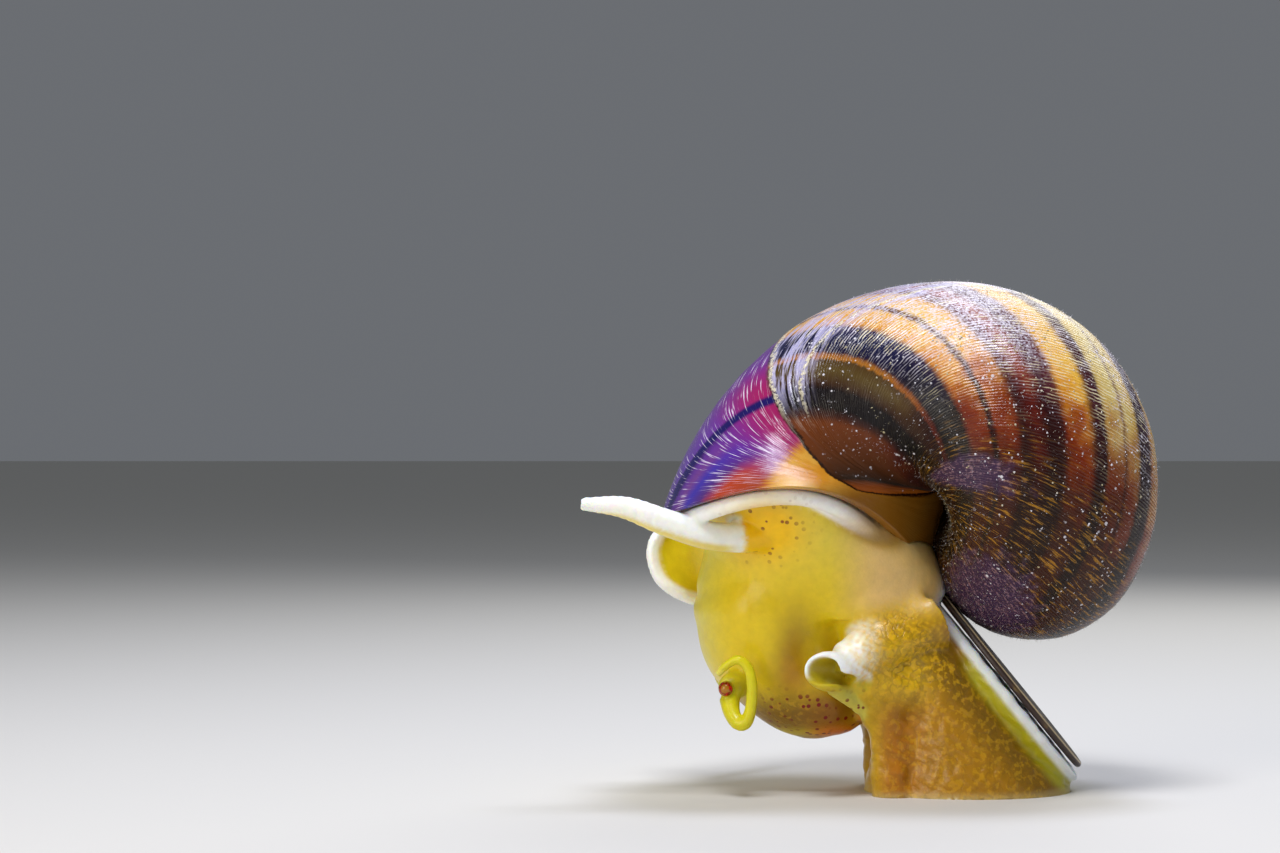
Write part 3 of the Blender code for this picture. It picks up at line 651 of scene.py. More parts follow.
@dataclass
class Shell:
    """The whole shell in one piece: the outside from apex to lip, round the lip and a way up inside."""

    finish: PeriostracumOverLime
    wall: float = 0.7
    inside: float = 26.0  # degrees that the inner wall runs back from the lip
    girth_seam: float = 130.0  # where the map's edge hides, inside the whorl before
    columns: int = 150
    lip_rings: int = 7
    lip_bulge: float = 0.9
    inner_rings: int = 16
    # Stretches of the outside: degrees behind the lip from and to, and rings
    turns: tuple = ((1296.0, 720.0, 60), (720.0, 360.0, 130), (360.0, 0.0, 420))
    # Beads along the older halt: degrees from it, height in millimetres, half width in degrees
    beads: tuple = ((0.0, 0.14, 1.6), (5.0, 0.12, 1.2), (-6.0, 0.10, 1.3))
    step_height: float = 0.22
    rest_height: float = 0.05
    fine_height: float = 0.018
    overlap_height: float = 0.3

    def rings(self) -> tuple[np.ndarray, np.ndarray]:
        """Degrees behind the lip and inset of each ring, from the apex to the inner wall's end."""
        outside = np.concatenate([np.linspace(*turn, endpoint=False) for turn in self.turns])
        bend = np.linspace(0, np.pi, self.lip_rings)
        inner = np.linspace(0.6, self.inside, self.inner_rings)
        back = np.concatenate([outside, -self.lip_bulge * np.sin(bend), inner])
        inset = np.concatenate(
            [0 * outside, self.wall * (1 - np.cos(bend)) / 2, np.full(self.inner_rings, self.wall)]
        )
        return back, inset

    def relief(self, back: np.ndarray, girth: np.ndarray) -> np.ndarray:
        """How far the surface stands proud, in millimetres.

        Each halt is a low step whose older side stands up, with a rounded bead along it; slow waves
        along the turn are rests in the growth, and the new base lies over the old with an edge.
        """
        fresh, halt = MARKS.fresh(back, girth), MARKS.halt(back, girth)
        open_air = ease(-150, -100, girth)
        step = self.step_height * (ease(-1.5, 0.8, fresh) - ease(0.8, 26, fresh)) * open_air
        bead = sum(height * bump_at(halt, place, spread) for place, height, spread in self.beads)
        step = step + bead * open_air * ease(60, 20, girth)
        wander = back * 11.0 + 14 * np.sin(np.radians(back * 3))
        rests = self.rest_height * np.sin(np.radians(wander)) * ease(60, 110, back)
        fine = self.fine_height * np.sin(np.radians(back * 47.0 + girth * 0.4)) * ease(0, 40, back)
        under = ease(-100, -130, girth) * ease(-179, -160, girth)
        overlap = self.overlap_height * ease(2.0, -2.0, fresh) * under
        return (step + rests + fine + overlap) * ease(700, 300, back)

    def build(self) -> bpy.types.Object:
        """Makes the shell's mesh with its whorl map and the masks that its finish reads.

        Returns:
            The shell piece.
        """
        back, inset = self.rings()
        girth = np.linspace(self.girth_seam - 360, self.girth_seam, self.columns, endpoint=False)
        back, girth = np.meshgrid(back, girth, indexing="ij")
        wide = (girth + 180) % 360 - 180
        within = inset[:, None] - self.relief(back, wide) * (inset[:, None] < self.wall / 2)
        surface = Surface.grid(WHORLS.place(back, girth, within))
        piece = surface.to_object("shell_skin")
        shade_round(piece)
        flat_back = np.append(back.reshape(-1), [back[0, 0], back[-1, 0]])
        flat_girth = np.append(girth.reshape(-1), [0.0, 0.0])
        flat_wide = np.append(wide.reshape(-1), [0.0, 0.0])
        self.map_whorl(piece, flat_back, flat_girth)
        masks = {"fresh": MARKS.fresh, "halt": MARKS.halt, "amber": MARKS.amber, "scar": self.scar}
        for name, mask in masks.items():
            put_values(piece, name, mask(flat_back, flat_wide))
        return piece

    def map_whorl(self, piece: bpy.types.Object, back: np.ndarray, girth: np.ndarray) -> None:
        """Lays the whorl map: across, degrees behind the lip; up, the band; both in hundreds.

        Args:
            piece: the shell.
            back: degrees behind the lip of each vertex.
            girth: degrees round the tube of each vertex, from the seam onward.
        """
        count = len(piece.data.loops)
        corner = np.empty(count, np.int32)
        piece.data.loops.foreach_get("vertex_index", corner)
        starts = np.empty(len(piece.data.polygons), np.int32)
        piece.data.polygons.foreach_get("loop_start", starts)
        totals = np.empty(len(piece.data.polygons), np.int32)
        piece.data.polygons.foreach_get("loop_total", totals)
        face = np.repeat(np.arange(len(starts)), totals)
        corner_girth = girth[corner]
        lowest = np.minimum.reduceat(corner_girth, starts)[face]
        highest = np.maximum.reduceat(corner_girth, starts)[face]
        crosses = (highest - lowest > 180) & (corner_girth < self.girth_seam - 180)
        corner_girth = corner_girth + 360 * crosses
        values = np.column_stack([back[corner], WHORLS.band(back[corner], corner_girth)]) / 100
        layer = piece.data.uv_layers.new(name="whorl")
        layer.data.foreach_set("uv", values.astype(np.float32).reshape(-1))

    def scar(self, back: np.ndarray, girth: np.ndarray) -> np.ndarray:
        """Where the horny skin is rubbed through: the ball's lowest side, and a patch by the axis."""
        low = bump_at(back, 258, 42) * bump_at(girth, -26, 46)
        patch = 0.95 * bump_at(back, 185, 13) * bump_at(girth, -64, 40)
        return np.maximum(low, patch)

    def dress(self, piece: bpy.types.Object) -> None:
        """Gives the shell its finish and its place in the frame."""
        piece.data.materials.append(self.finish.make())
        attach(piece, BODY)
        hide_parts("shell")


# ---- Soft body


@dataclass(frozen=True)
class BodyForm:
    """Sizes of the soft body. Rows of a limb hold x, y, z and radius."""

    # Slices at heights: height, front x, back x, half width, middle y
    head: tuple = (
        (22.0, -23.0, -9.5, 7.6, 0.2), (18.0, -25.2, -10.5, 8.0, 0.0), (15.5, -25.0, -11.0, 7.8, 0.0),
        (13.0, -24.5, -10.5, 7.4, 0.0), (10.8, -23.4, -9.6, 6.9, 0.0), (8.8, -21.4, -8.9, 6.1, 0.0),
        (7.0, -19.3, -8.8, 5.2, 0.0), (5.7, -17.2, -10.4, 3.4, 0.0), (4.95, -14.9, -13.1, 0.9, 0.0),
    )
    foot: tuple = (
        (21.0, -16.5, -4.8, 8.4, 0.0), (18.0, -14.8, -3.2, 7.9, 0.0), (14.2, -12.6, -0.2, 7.3, 0.0),
        (10.8, -9.8, 2.6, 7.1, 0.0), (8.4, -8.3, 4.7, 7.3, 0.0), (4.0, -8.3, 7.9, 7.9, 0.0),
        (1.4, -8.9, 10.0, 8.3, 0.0), (-1.2, -9.3, 10.6, 8.4, 0.0),
    )
    # Neck: middle x, y, z, half length, half width, turn of the section in degrees
    neck: tuple = (
        (-14.3, 1.3, 30.5, 9.8, 15.2, -31.0), (-14.0, 1.0, 26.3, 10.0, 13.2, -27.0),
        (-13.4, 0.4, 22.5, 11.0, 10.4, -14.0), (-13.2, 0.0, 19.0, 11.8, 8.4, 0.0),
        (-13.2, 0.0, 16.5, 10.4, 7.2, 0.0),
    )
    rim: float = 0.8
    rim_inset: float = 1.52
    rim_back: float = -2.4
    rim_drop: float = 0.35
    cutter_insets: tuple = (-0.1, 0.68)
    cutter_depth: float = 26.0
    plug_depth: float = 15.0
    plug_end: float = -1.0
    plug_inset: float = 1.55
    corner_mouth: tuple = (-13.6, 10.6, 12.1)
    corner_root: tuple = (-8.4, 5.4, 11.2)
    corner_radii: tuple = (2.2, 1.9)
    corner_hollow: float = 0.6
    corner_arc: tuple = (-10.0, 290.0)
    corner_draw: float = 0.2
    corner_lip: float = 0.12
    shoulder: tuple = ((-3.5, 4.0, 16.4, 3.4), (-7.2, 6.0, 14.5, 2.7), (-10.4, 7.9, 13.3, 2.1),
                       (-12.1, 8.8, 13.2, 1.3))
    front_edge: tuple = ((-11.0, 7.4, 11.2, 1.4), (-8.8, 6.4, 8.8, 1.7), (-7.3, 5.6, 5.6, 1.9),
                         (-6.6, 5.0, -2.0, 2.0))
    corner_fill: tuple = ((-9.8, 7.3, 11.2, 1.3), (-7.6, 6.5, 10.5, 1.8), (-5.0, 5.6, 9.4, 1.9))
    front_fold: tuple = ((-12.9, 9.0, 10.3, 0.5), (-11.2, 8.0, 9.3, 0.6), (-9.4, 6.4, 8.0, 0.6),
                         (-8.0, 3.5, 7.6, 0.6), (-7.5, 0.0, 7.5, 0.6))
    siphon: tuple = ((-18.6, -8.4, 24.6, 1.7), (-21.6, -9.6, 24.3, 1.42), (-24.6, -10.4, 24.6, 1.33),
                     (-28.3, -11.0, 25.8, 1.25), (-31.9, -11.2, 27.1, 1.02), (-35.6, -11.2, 27.4, 0.6))
    siphon_bore: float = 0.24
    siphon_rim: float = 0.9
    feeler_left: tuple = ((-22.1, -6.9, 9.3, 1.0), (-21.9, -7.7, 8.0, 0.8), (-21.3, -8.4, 7.1, 0.7),
                          (-20.55, -8.8, 7.3, 0.62), (-20.1, -9.0, 9.2, 0.55), (-20.25, -9.1, 11.8, 0.5),
                          (-21.3, -9.0, 13.0, 0.46), (-22.6, -8.7, 12.3, 0.4), (-23.3, -8.4, 11.4, 0.33))
    feeler_right: tuple = ((-20.8, 4.6, 11.6, 0.7), (-22.2, 8.0, 12.6, 0.58), (-21.4, 12.0, 12.2, 0.54),
                           (-19.4, 15.6, 10.6, 0.5), (-17.2, 18.4, 9.6, 0.46), (-15.4, 21.4, 10.4, 0.4),
                           (-14.2, 23.6, 12.2, 0.34))
    eye_stalk: tuple = ((-20.4, 4.2, 11.0, 1.55), (-21.6, 6.0, 10.4, 1.32), (-22.4, 7.7, 10.2, 1.28))
    eye_place: tuple = (-22.4, 7.62, 10.2)
    eye_radius: float = 0.75
    palp: tuple = ((-10.8, 3.0, 8.2, 1.0), (-9.2, 3.6, 7.5, 0.8), (-7.9, 4.1, 7.1, 0.45))
    lobe_root: tuple = ((-22.3, 4.6, 25.4), (-21.6, 4.6, 22.0), (-21.6, 4.4, 18.4))
    lobe_rim: tuple = ((-27.7, 5.0, 25.9), (-29.6, 4.6, 22.9), (-28.9, 4.6, 19.7), (-26.4, 4.8, 17.9),
                       (-24.6, 5.2, 17.5))
    lobe_cup: float = 1.9
    lobe_wall: float = 0.8
    plate_middle: tuple = (4.4, 0.2, 10.3)
    plate_up: tuple = (-0.63, 0.0, 0.777)
    plate_out: tuple = (0.77, -0.06, 0.62)
    plate_half_length: float = 10.6
    plate_half_width: float = 5.9
    plate_taper: float = 0.16
    plate_thickness: float = 0.7
    pad_overhang: float = 0.7
    # The pad's brim: height over the plate's lower face, share of the overhang
    pad_brim: tuple = ((-2.4, 0.0), (-1.6, 0.75), (-1.0, 1.0), (-0.55, 1.0), (-0.3, 0.6))

    def plate_frame(self) -> tuple[np.ndarray, np.ndarray, np.ndarray, np.ndarray]:
        """Middle and unit directions of the operculum: up its length, across it and out of it."""
        up = np.array(self.plate_up) / np.linalg.norm(self.plate_up)
        out = np.array(self.plate_out) - up * (np.array(self.plate_out) @ up)
        out /= np.linalg.norm(out)
        return np.array(self.plate_middle), up, np.cross(out, up), out


FORM = BodyForm()


def circles_along(line: np.ndarray, aside: tuple | np.ndarray, sides: int) -> tuple[np.ndarray, np.ndarray]:
    """Unit circles square to a line.

    Args:
        line: points along the line.
        aside: a direction that the line never runs along, from which the circles start.
        sides: points in each circle.

    Returns:
        The line's unit direction at each point, and the circle there.
    """
    tangent = np.gradient(line, axis=0)
    tangent /= np.linalg.norm(tangent, axis=1)[:, None]
    one = np.cross(tangent, aside)
    one /= np.linalg.norm(one, axis=1)[:, None]
    two = np.cross(tangent, one)
    angle = np.linspace(0, TURN, sides, endpoint=False)[None, :, None]
    return tangent, np.cos(angle) * one[:, None] + np.sin(angle) * two[:, None]


# Steps along a limb's line before its even rings are chosen, the angles of the rings on a domed tip,
# and a direction that no limb runs along
LINE_STEPS = 300
DOME_DEGREES = (15, 35, 50, 65, 78, 87)
ASIDE = (0.31, 0.17, 0.93)


def tube(rows: np.ndarray, rings: int = 60, sides: int = 20, round_tip: bool = True) -> Surface:
    """A tapering round limb: circles of the given radius, square to the line, evenly along it.

    Args:
        rows: x, y, z and radius along the limb.
        rings: circles along it.
        sides: points in each circle.
        round_tip: whether the far end is domed.

    Returns:
        The closed limb.
    """
    fine = smooth_rows(rows, LINE_STEPS)
    length = np.concatenate([[0], np.cumsum(np.linalg.norm(np.diff(fine[:, :3], axis=0), axis=1))])
    wanted = np.linspace(0, length[-1], rings)
    tip = fine[-1, 3]
    if round_tip:
        dome = length[-1] - tip * (1 - np.sin(np.radians(DOME_DEGREES)))
        wanted = np.sort(np.concatenate([wanted[wanted < length[-1] - tip], [length[-1] - tip], dome]))
    placed = np.stack([np.interp(wanted, length, column) for column in fine.T], axis=-1)
    line, radius = placed[:, :3], placed[:, 3].copy()
    if round_tip:
        left = np.clip((length[-1] - wanted) / tip, 0, 1)
        radius = radius * np.sqrt(np.clip(1 - (1 - left) ** 2, 0.01, 1))
    _, circle = circles_along(line, ASIDE, sides)
    return Surface.grid(line[:, None] + radius[:, None, None] * circle)


def slices(levels: tuple, rings: int = 60, sides: int = 96) -> Surface:
    """A soft mass: at each height an oval between a front and a back, as wide as given."""
    height, front, back, half_width, middle = smooth_rows(levels, rings).T[:, :, None]
    angle = np.linspace(0, TURN, sides, endpoint=False)
    x = (front + back) / 2 + (back - front) / 2 * np.cos(angle)
    y = middle + half_width * np.sin(angle)
    return Surface.grid(np.stack([x, y, height + 0 * x], axis=-1))


@dataclass(frozen=True)
class WetSnailSkin:
    """Living snail skin: translucent mucous flesh, pale cream to yellow, wet.

    Light sinks in and comes back soft and warm, the surface keeps a low wet gloss. Its zones are
    painted on the mesh; this adds the fine mottle, the network on the foot and the freckles.
    """

    network_dark: str = "#5C4A1C"
    network_light: str = "#E6B41E"
    freckle: str = "#7A0C06"
    vein_mm: float = 0.95
    freckle_mm: float = 0.72
    pore_mm: float = 0.22

    def make(self) -> bpy.types.Material:
        """Builds the material; it reads the painted colour and the masks named veins and freckles."""
        material, add = new_material("wet_snail_skin")
        where = add("place")
        paint = add("painted", attribute_name="paint", out="Color")
        veins, freckles = add("painted", attribute_name="veins"), add("painted", attribute_name="freckles")
        cloud, mottle = add("noise", where, 1 / (3.2 * MM), 3.0), add("noise", where, 1 / (0.8 * MM), 3.0)
        pores = add("noise", where, 1 / (self.pore_mm * MM), 2.0)
        colour = add("tone", paint, 0.5, 1.0, add("MULTIPLY_ADD", mottle, 0.24, 0.88))
        # Net of darker wriggling lines between golden cushions on the foot
        net = add("noise", where, 1 / (self.vein_mm * MM), 2.5)
        line = add("rise", add("ABSOLUTE", add("SUBTRACT", net, 0.5)), 0.09, 0.0)
        cushion = add("rise", add("noise", where, 1 / (self.vein_mm * 0.6 * MM), 2.0), 0.5, 0.62)
        golden = add("MULTIPLY", add("MULTIPLY", veins, cushion), 0.6)
        colour = add("mix", golden, colour, self.network_light)
        dim = add("MULTIPLY", add("MULTIPLY", veins, line), add("rise", cloud, 0.3, 0.55))
        colour = add("mix", add("MULTIPLY", dim, 0.42), colour, self.network_dark)
        cell = add("cells", where, 1 / (self.freckle_mm * MM))
        chance = add("channels", cell.node.outputs["Color"])
        dot = add("MULTIPLY", add("rise", cell, 0.34, 0.22), add("rise", chance, 0.26, 0.32))
        dot = add("MULTIPLY", dot, add("rise", add("MULTIPLY_ADD", cloud, 0.5, -0.16), 0.0, 0.1))
        dot = add("MULTIPLY", dot, freckles)
        colour = add("mix", dot, colour, self.freckle)
        height = add("ADD", add("MULTIPLY", pores, 0.5), add("MULTIPLY", mottle, 0.9))
        height = add("ADD", height, add("MULTIPLY", add("MULTIPLY", line, veins), -0.8))
        wire_shader(material, {
            "Base Color": colour, "Roughness": add("MULTIPLY_ADD", mottle, 0.2, 0.26), "IOR": 1.38,
            "Subsurface Weight": 0.45, "Subsurface Radius": (1.0, 0.62, 0.2), "Subsurface Scale": 1.1 * MM,
            "Coat Weight": 0.12, "Coat Roughness": 0.1, "Normal": add("bump", height, 0.5, 0.09 * MM),
        })
        return material


@dataclass
class Paint:
    """A linear colour for each vertex of the skin, built up layer by layer."""

    colour: np.ndarray

    @staticmethod
    def plain(code: str, count: int) -> "Paint":
        """One colour all over."""
        return Paint(np.tile(np.array(linear(code)[:3]), (count, 1)))

    def lay(self, code: str, weight: np.ndarray) -> None:
        """Blends a colour in where the weight says.

        Args:
            code: the colour as sRGB hex.
            weight: 0 to 1 for each vertex.
        """
        weight = np.clip(weight, 0, 1)[:, None]
        self.colour = self.colour * (1 - weight) + np.array(linear(code)[:3]) * weight

    def lay_all(self, table: tuple, measures: dict[str, np.ndarray]) -> None:
        """Lays each colour of a table of zones in turn, where its spot says."""
        for code, spot in table:
            self.lay(code, spot.weight(measures))


@dataclass(frozen=True)
class Spot:
    """Where a zone of the skin lies, as a weight from measures of place that are multiplied together.

    Each rise names a measure, where it gives 0 and where it gives 1; each bell names a measure, its
    middle and its spread; each name in by is a measure taken as it is.
    """

    strength: float = 1.0
    rises: tuple = ()
    bells: tuple = ()
    by: tuple = ()

    def weight(self, measures: dict[str, np.ndarray]) -> np.ndarray:
        """The weight for each vertex."""
        weight = np.full_like(measures["x"], self.strength)
        for name, low, high in self.rises:
            weight *= ease(low, high, measures[name])
        for name, centre, spread in self.bells:
            weight *= bump_at(measures[name], centre, spread)
        for name in self.by:
            weight *= measures[name]
        return weight


@dataclass(frozen=True)
class SkinZones:
    """The skin's painted zones, each a colour and a spot, in the order that they are laid."""

    under: str = "#E8CC12"
    foot: tuple = (("x", -11.0, -7.0), ("z", 19.0, 15.5))
    scroll: tuple = (("inward", 0.75, 0.4), ("inward", -0.3, -0.15), ("scroll_reach", 1.3, 1.12))
    wrap: tuple = (("siphon", 2.4, 1.7), ("siphon_place", 0.15, 0.19))
    lobe: tuple = (("x", -23.5, -24.8), ("y", 3.2, 4.2), ("z", 16.5, 17.2), ("z", 27.4, 26.6))
    cheek: tuple = (("side", 3.5, 6.5),)

    def ground(self) -> tuple:
        """Head, neck, foot, pad and mantle edge."""
        return (
            # Head and neck: creamy above, painted shade in the groove and the hollow of the cheek, brown on
            # the snout, orange lips
            ("#E2CE4C", Spot(0.8, (("z", 18.0, 25.0),))),
            ("#E6C07C", Spot(0.9, (("x", -13.5, -8.0), ("z", 15.0, 19.0)))),
            ("#D8CC50", Spot(0.8, (("x", -21.5, -25.0), ("z", 8.0, 12.0)))),
            # Painted shade: the groove between head and foot, and the cheek's hollow below it, darkened
            # brown
            ("#9A6C08", Spot(0.75, self.cheek, (("groove", 0.0, 1.7), ("z", 13.4, 4.2)))),
            ("#A8620C", Spot(0.5, self.cheek, (("x", -16.0, 1.6), ("z", 11.2, 1.8)))),
            ("#7E5606", Spot(0.9, (("z", 10.5, 7.5), ("x", -8.0, -12.0)))),
            ("#8C4E0E", Spot(0.7, (), (("x", -12.5, 3.0), ("z", 8.6, 2.2)))),
            ("#D8C21E", Spot(0.8, (("x", -8.5, -10.0), ("x", -20.0, -18.0)), (("z", 5.6, 0.6),))),
            ("#DE6A10", Spot(0.85, (("x", -15.5, -12.5), ("x", -9.0, -10.0)), (("z", 5.7, 0.8),))),
            # Foot: orange-brown flank, yellow towards the top and front, darker by the plate
            ("#A8780A", Spot(1.0, self.foot)),
            ("#D6AE10", Spot(0.9, (
                ("x", -11.0, -8.0), ("x", -1.0, -5.5), ("z", 18.0, 14.0), ("z", 7.5, 11.0),
            ))),
            ("#C26A12", Spot(0.4, (("z", 9.5, 6.0), *self.foot), (("x", -6.4, 2.0),))),
            ("#6E5008", Spot(0.7, (("over_plate", -6.5, -3.6), ("z", 20.0, 10.0), *self.foot))),
            # Pad of the operculum: green-yellow, with a blue-white brim
            ("#B4AC1E", Spot(1.0, (("over_plate", -3.0, -1.9), ("off_plate", 1.7, 1.05), ("x", -1.0, 1.0)))),
            ("#EAF0F4", Spot(1.0, (
                ("over_plate", -1.5, -0.95), ("off_plate", 1.5, 1.0), ("x", -4.0, -1.0),
            ))),
            ("#C9B070", Spot(0.7, (("z", 0.9, 0.0), *self.foot))),
            # Mantle edge: white, amber where the lip runs into the axis
            ("#FBFCFA", Spot(1.0, (("lip", 1.45, 1.0),))),
            ("#C09434", Spot(0.9, (
                ("lip", 2.0, 1.2), ("lip_place", 0.635, 0.56), ("lip_place", 0.37, 0.44),
            ))),
        )

    def corner(self) -> tuple:
        """One front corner of the foot, and palp and eye stalk of that side."""
        # The shoulder ridge above the scroll, where a white highlight is painted
        shoulder = (("side", 4.5, 6.0), ("shoulder", 3.3, 2.4), ("x", -7.3, -10.6), ("z", 11.4, 12.8),
                    ("x", -14.6, -13.4))
        return (
            # Scroll: white outside, blue-white above with a painted highlight, green-yellow bowl
            ("#C6B226", Spot(1.0, self.scroll)),
            # Partly the scroll's white skin, partly a painted highlight: blue-white on its outer top only
            ("#F6FBFF", Spot(1.0, (
                *self.scroll, ("scroll_reach", 0.58, 0.70), ("scroll_level", -0.55, 0.05),
            ))),
            # Painted highlight: white, in streaks, along the shoulder ridge
            ("#F6F8F0", Spot(1.0, shoulder, (), ("streaks",))),
            ("#B8A41C", Spot(1.0, (*self.scroll, ("scroll_reach", 0.72, 0.6)))),
            ("#E6B810", Spot(0.8, (("side", 4.5, 6.0), ("shoulder", 4.4, 2.6), ("x", -12.5, -9.0)), (),
                             ("speckles",))),
            ("#C9BE4A", Spot(1.0, (("fold", 1.2, 0.7), ("x", -7.5, -8.5)))),
            ("#C8621A", Spot(1.0, (("palp", 1.5, 0.9), ("x", -10.4, -9.2)))),
            ("#CBBE1C", Spot(1.0, (("stalk", 2.2, 1.5), ("stalk_place", 0.2, 0.6)))),
        )

    def feeler(self) -> tuple:
        """One feeler: yellow, paler to its tip."""
        limb = ("limb", 1.6, 1.1)
        return ("#D2CA12", Spot(1.0, (limb,))), ("#DDD46A", Spot(1.0, (limb, ("limb_place", 0.85, 1.0))))

    def siphon_and_lobe(self) -> tuple:
        """Siphon: milky, its lower side and its root yellow. Lobe: yellow cup with a white rim."""
        return (
            ("#F6F8F0", Spot(1.0, self.wrap)),
            ("#E6CC2A", Spot(0.8, (
                *self.wrap, ("siphon_place", 0.17, 0.3), ("siphon_level", -0.45, -0.95),
            ))),
            ("#F6C400", self.root(1.5)),
            ("#DCC81C", Spot(1.0, self.lobe)),
            ("#F8F8F2", Spot(1.0, (*self.lobe, ("lobe_rim", 1.35, 0.75)))),
        )

    def root(self, strength: float) -> Spot:
        """The patch at the siphon's root."""
        return Spot(strength, (("y", -4.0, -7.0),), (("x", -19.0, 3.2), ("z", 24.9, 2.6)), ("off_siphon",))

    def veins(self) -> tuple:
        """Where the net of the foot shows, strongest high up, and its faint run on the snout."""
        net = (("x", -11.0, -6.5), ("z", 18.5, 16.0), ("over_plate", -1.6, -3.4), ("side", 4.5, 6.0))
        return (
            Spot(0.45, net), Spot(0.55, (*net, ("z", 8.0, 12.5))),
            Spot(0.6, (), (("x", -16.6, 2.6), ("z", 8.2, 1.7))),
        )

    def freckles(self) -> tuple:
        """Where freckles lie: the snout, and the siphon's root."""
        return Spot(1.0, (("x", -8.5, -10.0), ("z", 11.0, 8.6), ("x", -19.8, -17.6))), self.root(1.3)


@dataclass
class SoftBody:
    """The one skin of head, neck, foot, mantle edge, feelers, siphon and lobe."""

    finish: WetSnailSkin
    zones: SkinZones = SkinZones()
    voxel: float = 0.2
    fold_height: float = 0.06
    ring_height: float = 0.02
    smoothing: int = 6
    relaxing: int = 220
    # Joints that are relaxed beside the cheek: x from and to, z from and to, least distance to the side
    joints: tuple = ((-9.5, -4.0, 2.5, 12.5, 4.5), (-9.5, -3.4, 15.0, 21.4, 3.0))
    triangles: int = 190_000
    nodes: tuple = (
        "mantle", "neck", "head", "snout", "foot", "foot_tail", "opercular_lobe", "siphon_1", "siphon_2",
        "nuchal_lobe_right", "eye_stalk_left", "eye_stalk_right", "palp_left", "palp_right",
        "tentacle_left_1", "tentacle_left_2", "tentacle_left_3",
        "tentacle_right_1", "tentacle_right_2", "tentacle_right_3",
    )

    def neck(self, rings: int = 50, sides: int = 96) -> Surface:
        """The neck: ovals that turn as they leave the shell's mouth."""
        x, y, z, half_length, half_width, turn = smooth_rows(FORM.neck, rings).T[:, :, None]
        angle, turn = np.linspace(0, TURN, sides, endpoint=False), np.radians(turn)
        along, across = half_length * np.cos(angle), half_width * np.sin(angle)
        return Surface.grid(np.stack([
            x + along * np.cos(turn) - across * np.sin(turn),
            y + along * np.sin(turn) + across * np.cos(turn),
            z + 0 * along,
        ], axis=-1))

    def plug(self, rings: int = 12, sides: int = 96) -> Surface:
        """What fills the mouth of the shell: the tube's own shape, set in from its wall."""
        depth = np.linspace(FORM.plug_depth, FORM.plug_end, rings)
        back, girth = np.meshgrid(depth, np.linspace(0, 360, sides, endpoint=False), indexing="ij")
        return Surface.grid(WHORLS.place(back, girth, FORM.plug_inset))

    def lip(self, count: int) -> np.ndarray:
        """Places on the middle line of the mantle's edge, once round the shell's mouth."""
        girth = np.linspace(0, 360, count)
        return WHORLS.place(0 * girth + FORM.rim_back, girth, FORM.rim_inset) - (0, 0, FORM.rim_drop)

    def mantle_edge(self, rings: int = 181, sides: int = 20) -> Surface:
        """The rolled edge of the mantle: a round roll that follows the shell's lip from inside."""
        line = self.lip(rings)
        _, circle = circles_along(line, WHORLS.axes()[0], sides)
        return Surface.grid(line[:, None] + FORM.rim * circle)

    def corner(self, side: Side, rings: int = 24, steps: int = 40) -> Surface:
        """A front corner of the foot: a thick sheet rolled into a scroll round a line that runs inward.

        The section is an arc of an oval outside and the same arc shrunk inside; it slides from the
        open mouth to the root, and its outer edge is drawn in and rounded at the mouth.

        Args:
            side: which corner.
            rings: sections along the scroll.
            steps: points along each arc.

        Returns:
            The closed scroll.
        """
        mouth, root = on_side((FORM.corner_mouth, FORM.corner_root), side)
        angle = np.radians(np.linspace(*FORM.corner_arc, steps))
        unit = np.stack([np.cos(angle), 0 * angle, np.sin(angle)], -1)
        arc = unit * (FORM.corner_radii[0], 1.0, FORM.corner_radii[1])
        place = np.linspace(0, 1, rings)
        drawn_in = FORM.corner_draw * np.clip(1 - place / FORM.corner_lip, 0, 1) ** 2
        lip = 1 - drawn_in
        hollow = FORM.corner_hollow + (1 - FORM.corner_hollow) * drawn_in
        outer = lip[:, None, None] * arc[None]
        inner = hollow[:, None, None] * arc[None, ::-1]
        middle = mouth + (root - mouth) * place[:, None]
        return Surface.grid(middle[:, None] + np.concatenate([outer, inner], axis=1), Cap.STRIP)

    def bored_siphon(self, rings: int = 90, sides: int = 28) -> Surface:
        """The siphon: a limb with its tip open, the wall turned in and carried back inside."""
        rows = smooth_rows(FORM.siphon, rings)
        line, radius = rows[:, :3], rows[:, 3]
        tangent, circle = circles_along(line, (0.0, 1.0, 0.0), sides)
        outer = line[:, None] + radius[:, None, None] * circle
        # Turned-in rim: a rounded arch between the outer and the inner radius
        bend = np.linspace(0.2, np.pi - 0.2, 6)
        rim_radius = FORM.siphon_bore + (radius[-1] - FORM.siphon_bore) * (1 + np.cos(bend)) / 2
        reach = FORM.siphon_rim * (radius[-1] - FORM.siphon_bore) * np.sin(bend)
        rim = line[-1] + reach[:, None, None] * tangent[-1] + rim_radius[:, None, None] * circle[-1]
        back = slice(-2, -14, -2)
        inner = line[back][:, None] + FORM.siphon_bore * circle[back]
        return Surface.grid(np.concatenate([outer, rim, inner]))

    def flap(self, columns: int = 60, rows: int = 30) -> Surface:
        """The right nuchal lobe: a cupped sheet between root and rim, its edge rolled thicker."""
        root, rim = smooth_rows(FORM.lobe_root, columns), smooth_rows(FORM.lobe_rim, columns)
        reach = np.linspace(0, 1, rows)[:, None, None]
        cup = np.array((0.0, FORM.lobe_cup, 0.0)) * np.sin(np.pi * reach)
        middle = (1 - reach) * root + reach * rim + cup
        along, outward = np.gradient(middle, axis=1), np.gradient(middle, axis=0)
        normal = np.cross(along, outward)
        normal /= np.linalg.norm(normal, axis=-1)[..., None]
        half = FORM.lobe_wall / 2 * (0.8 + 0.35 * bump_at(reach, 0.93, 0.12))
        faces = [middle + normal * half, (middle - normal * half)[:, ::-1]]
        return Surface.grid(np.concatenate(faces, axis=1), Cap.STRIP)

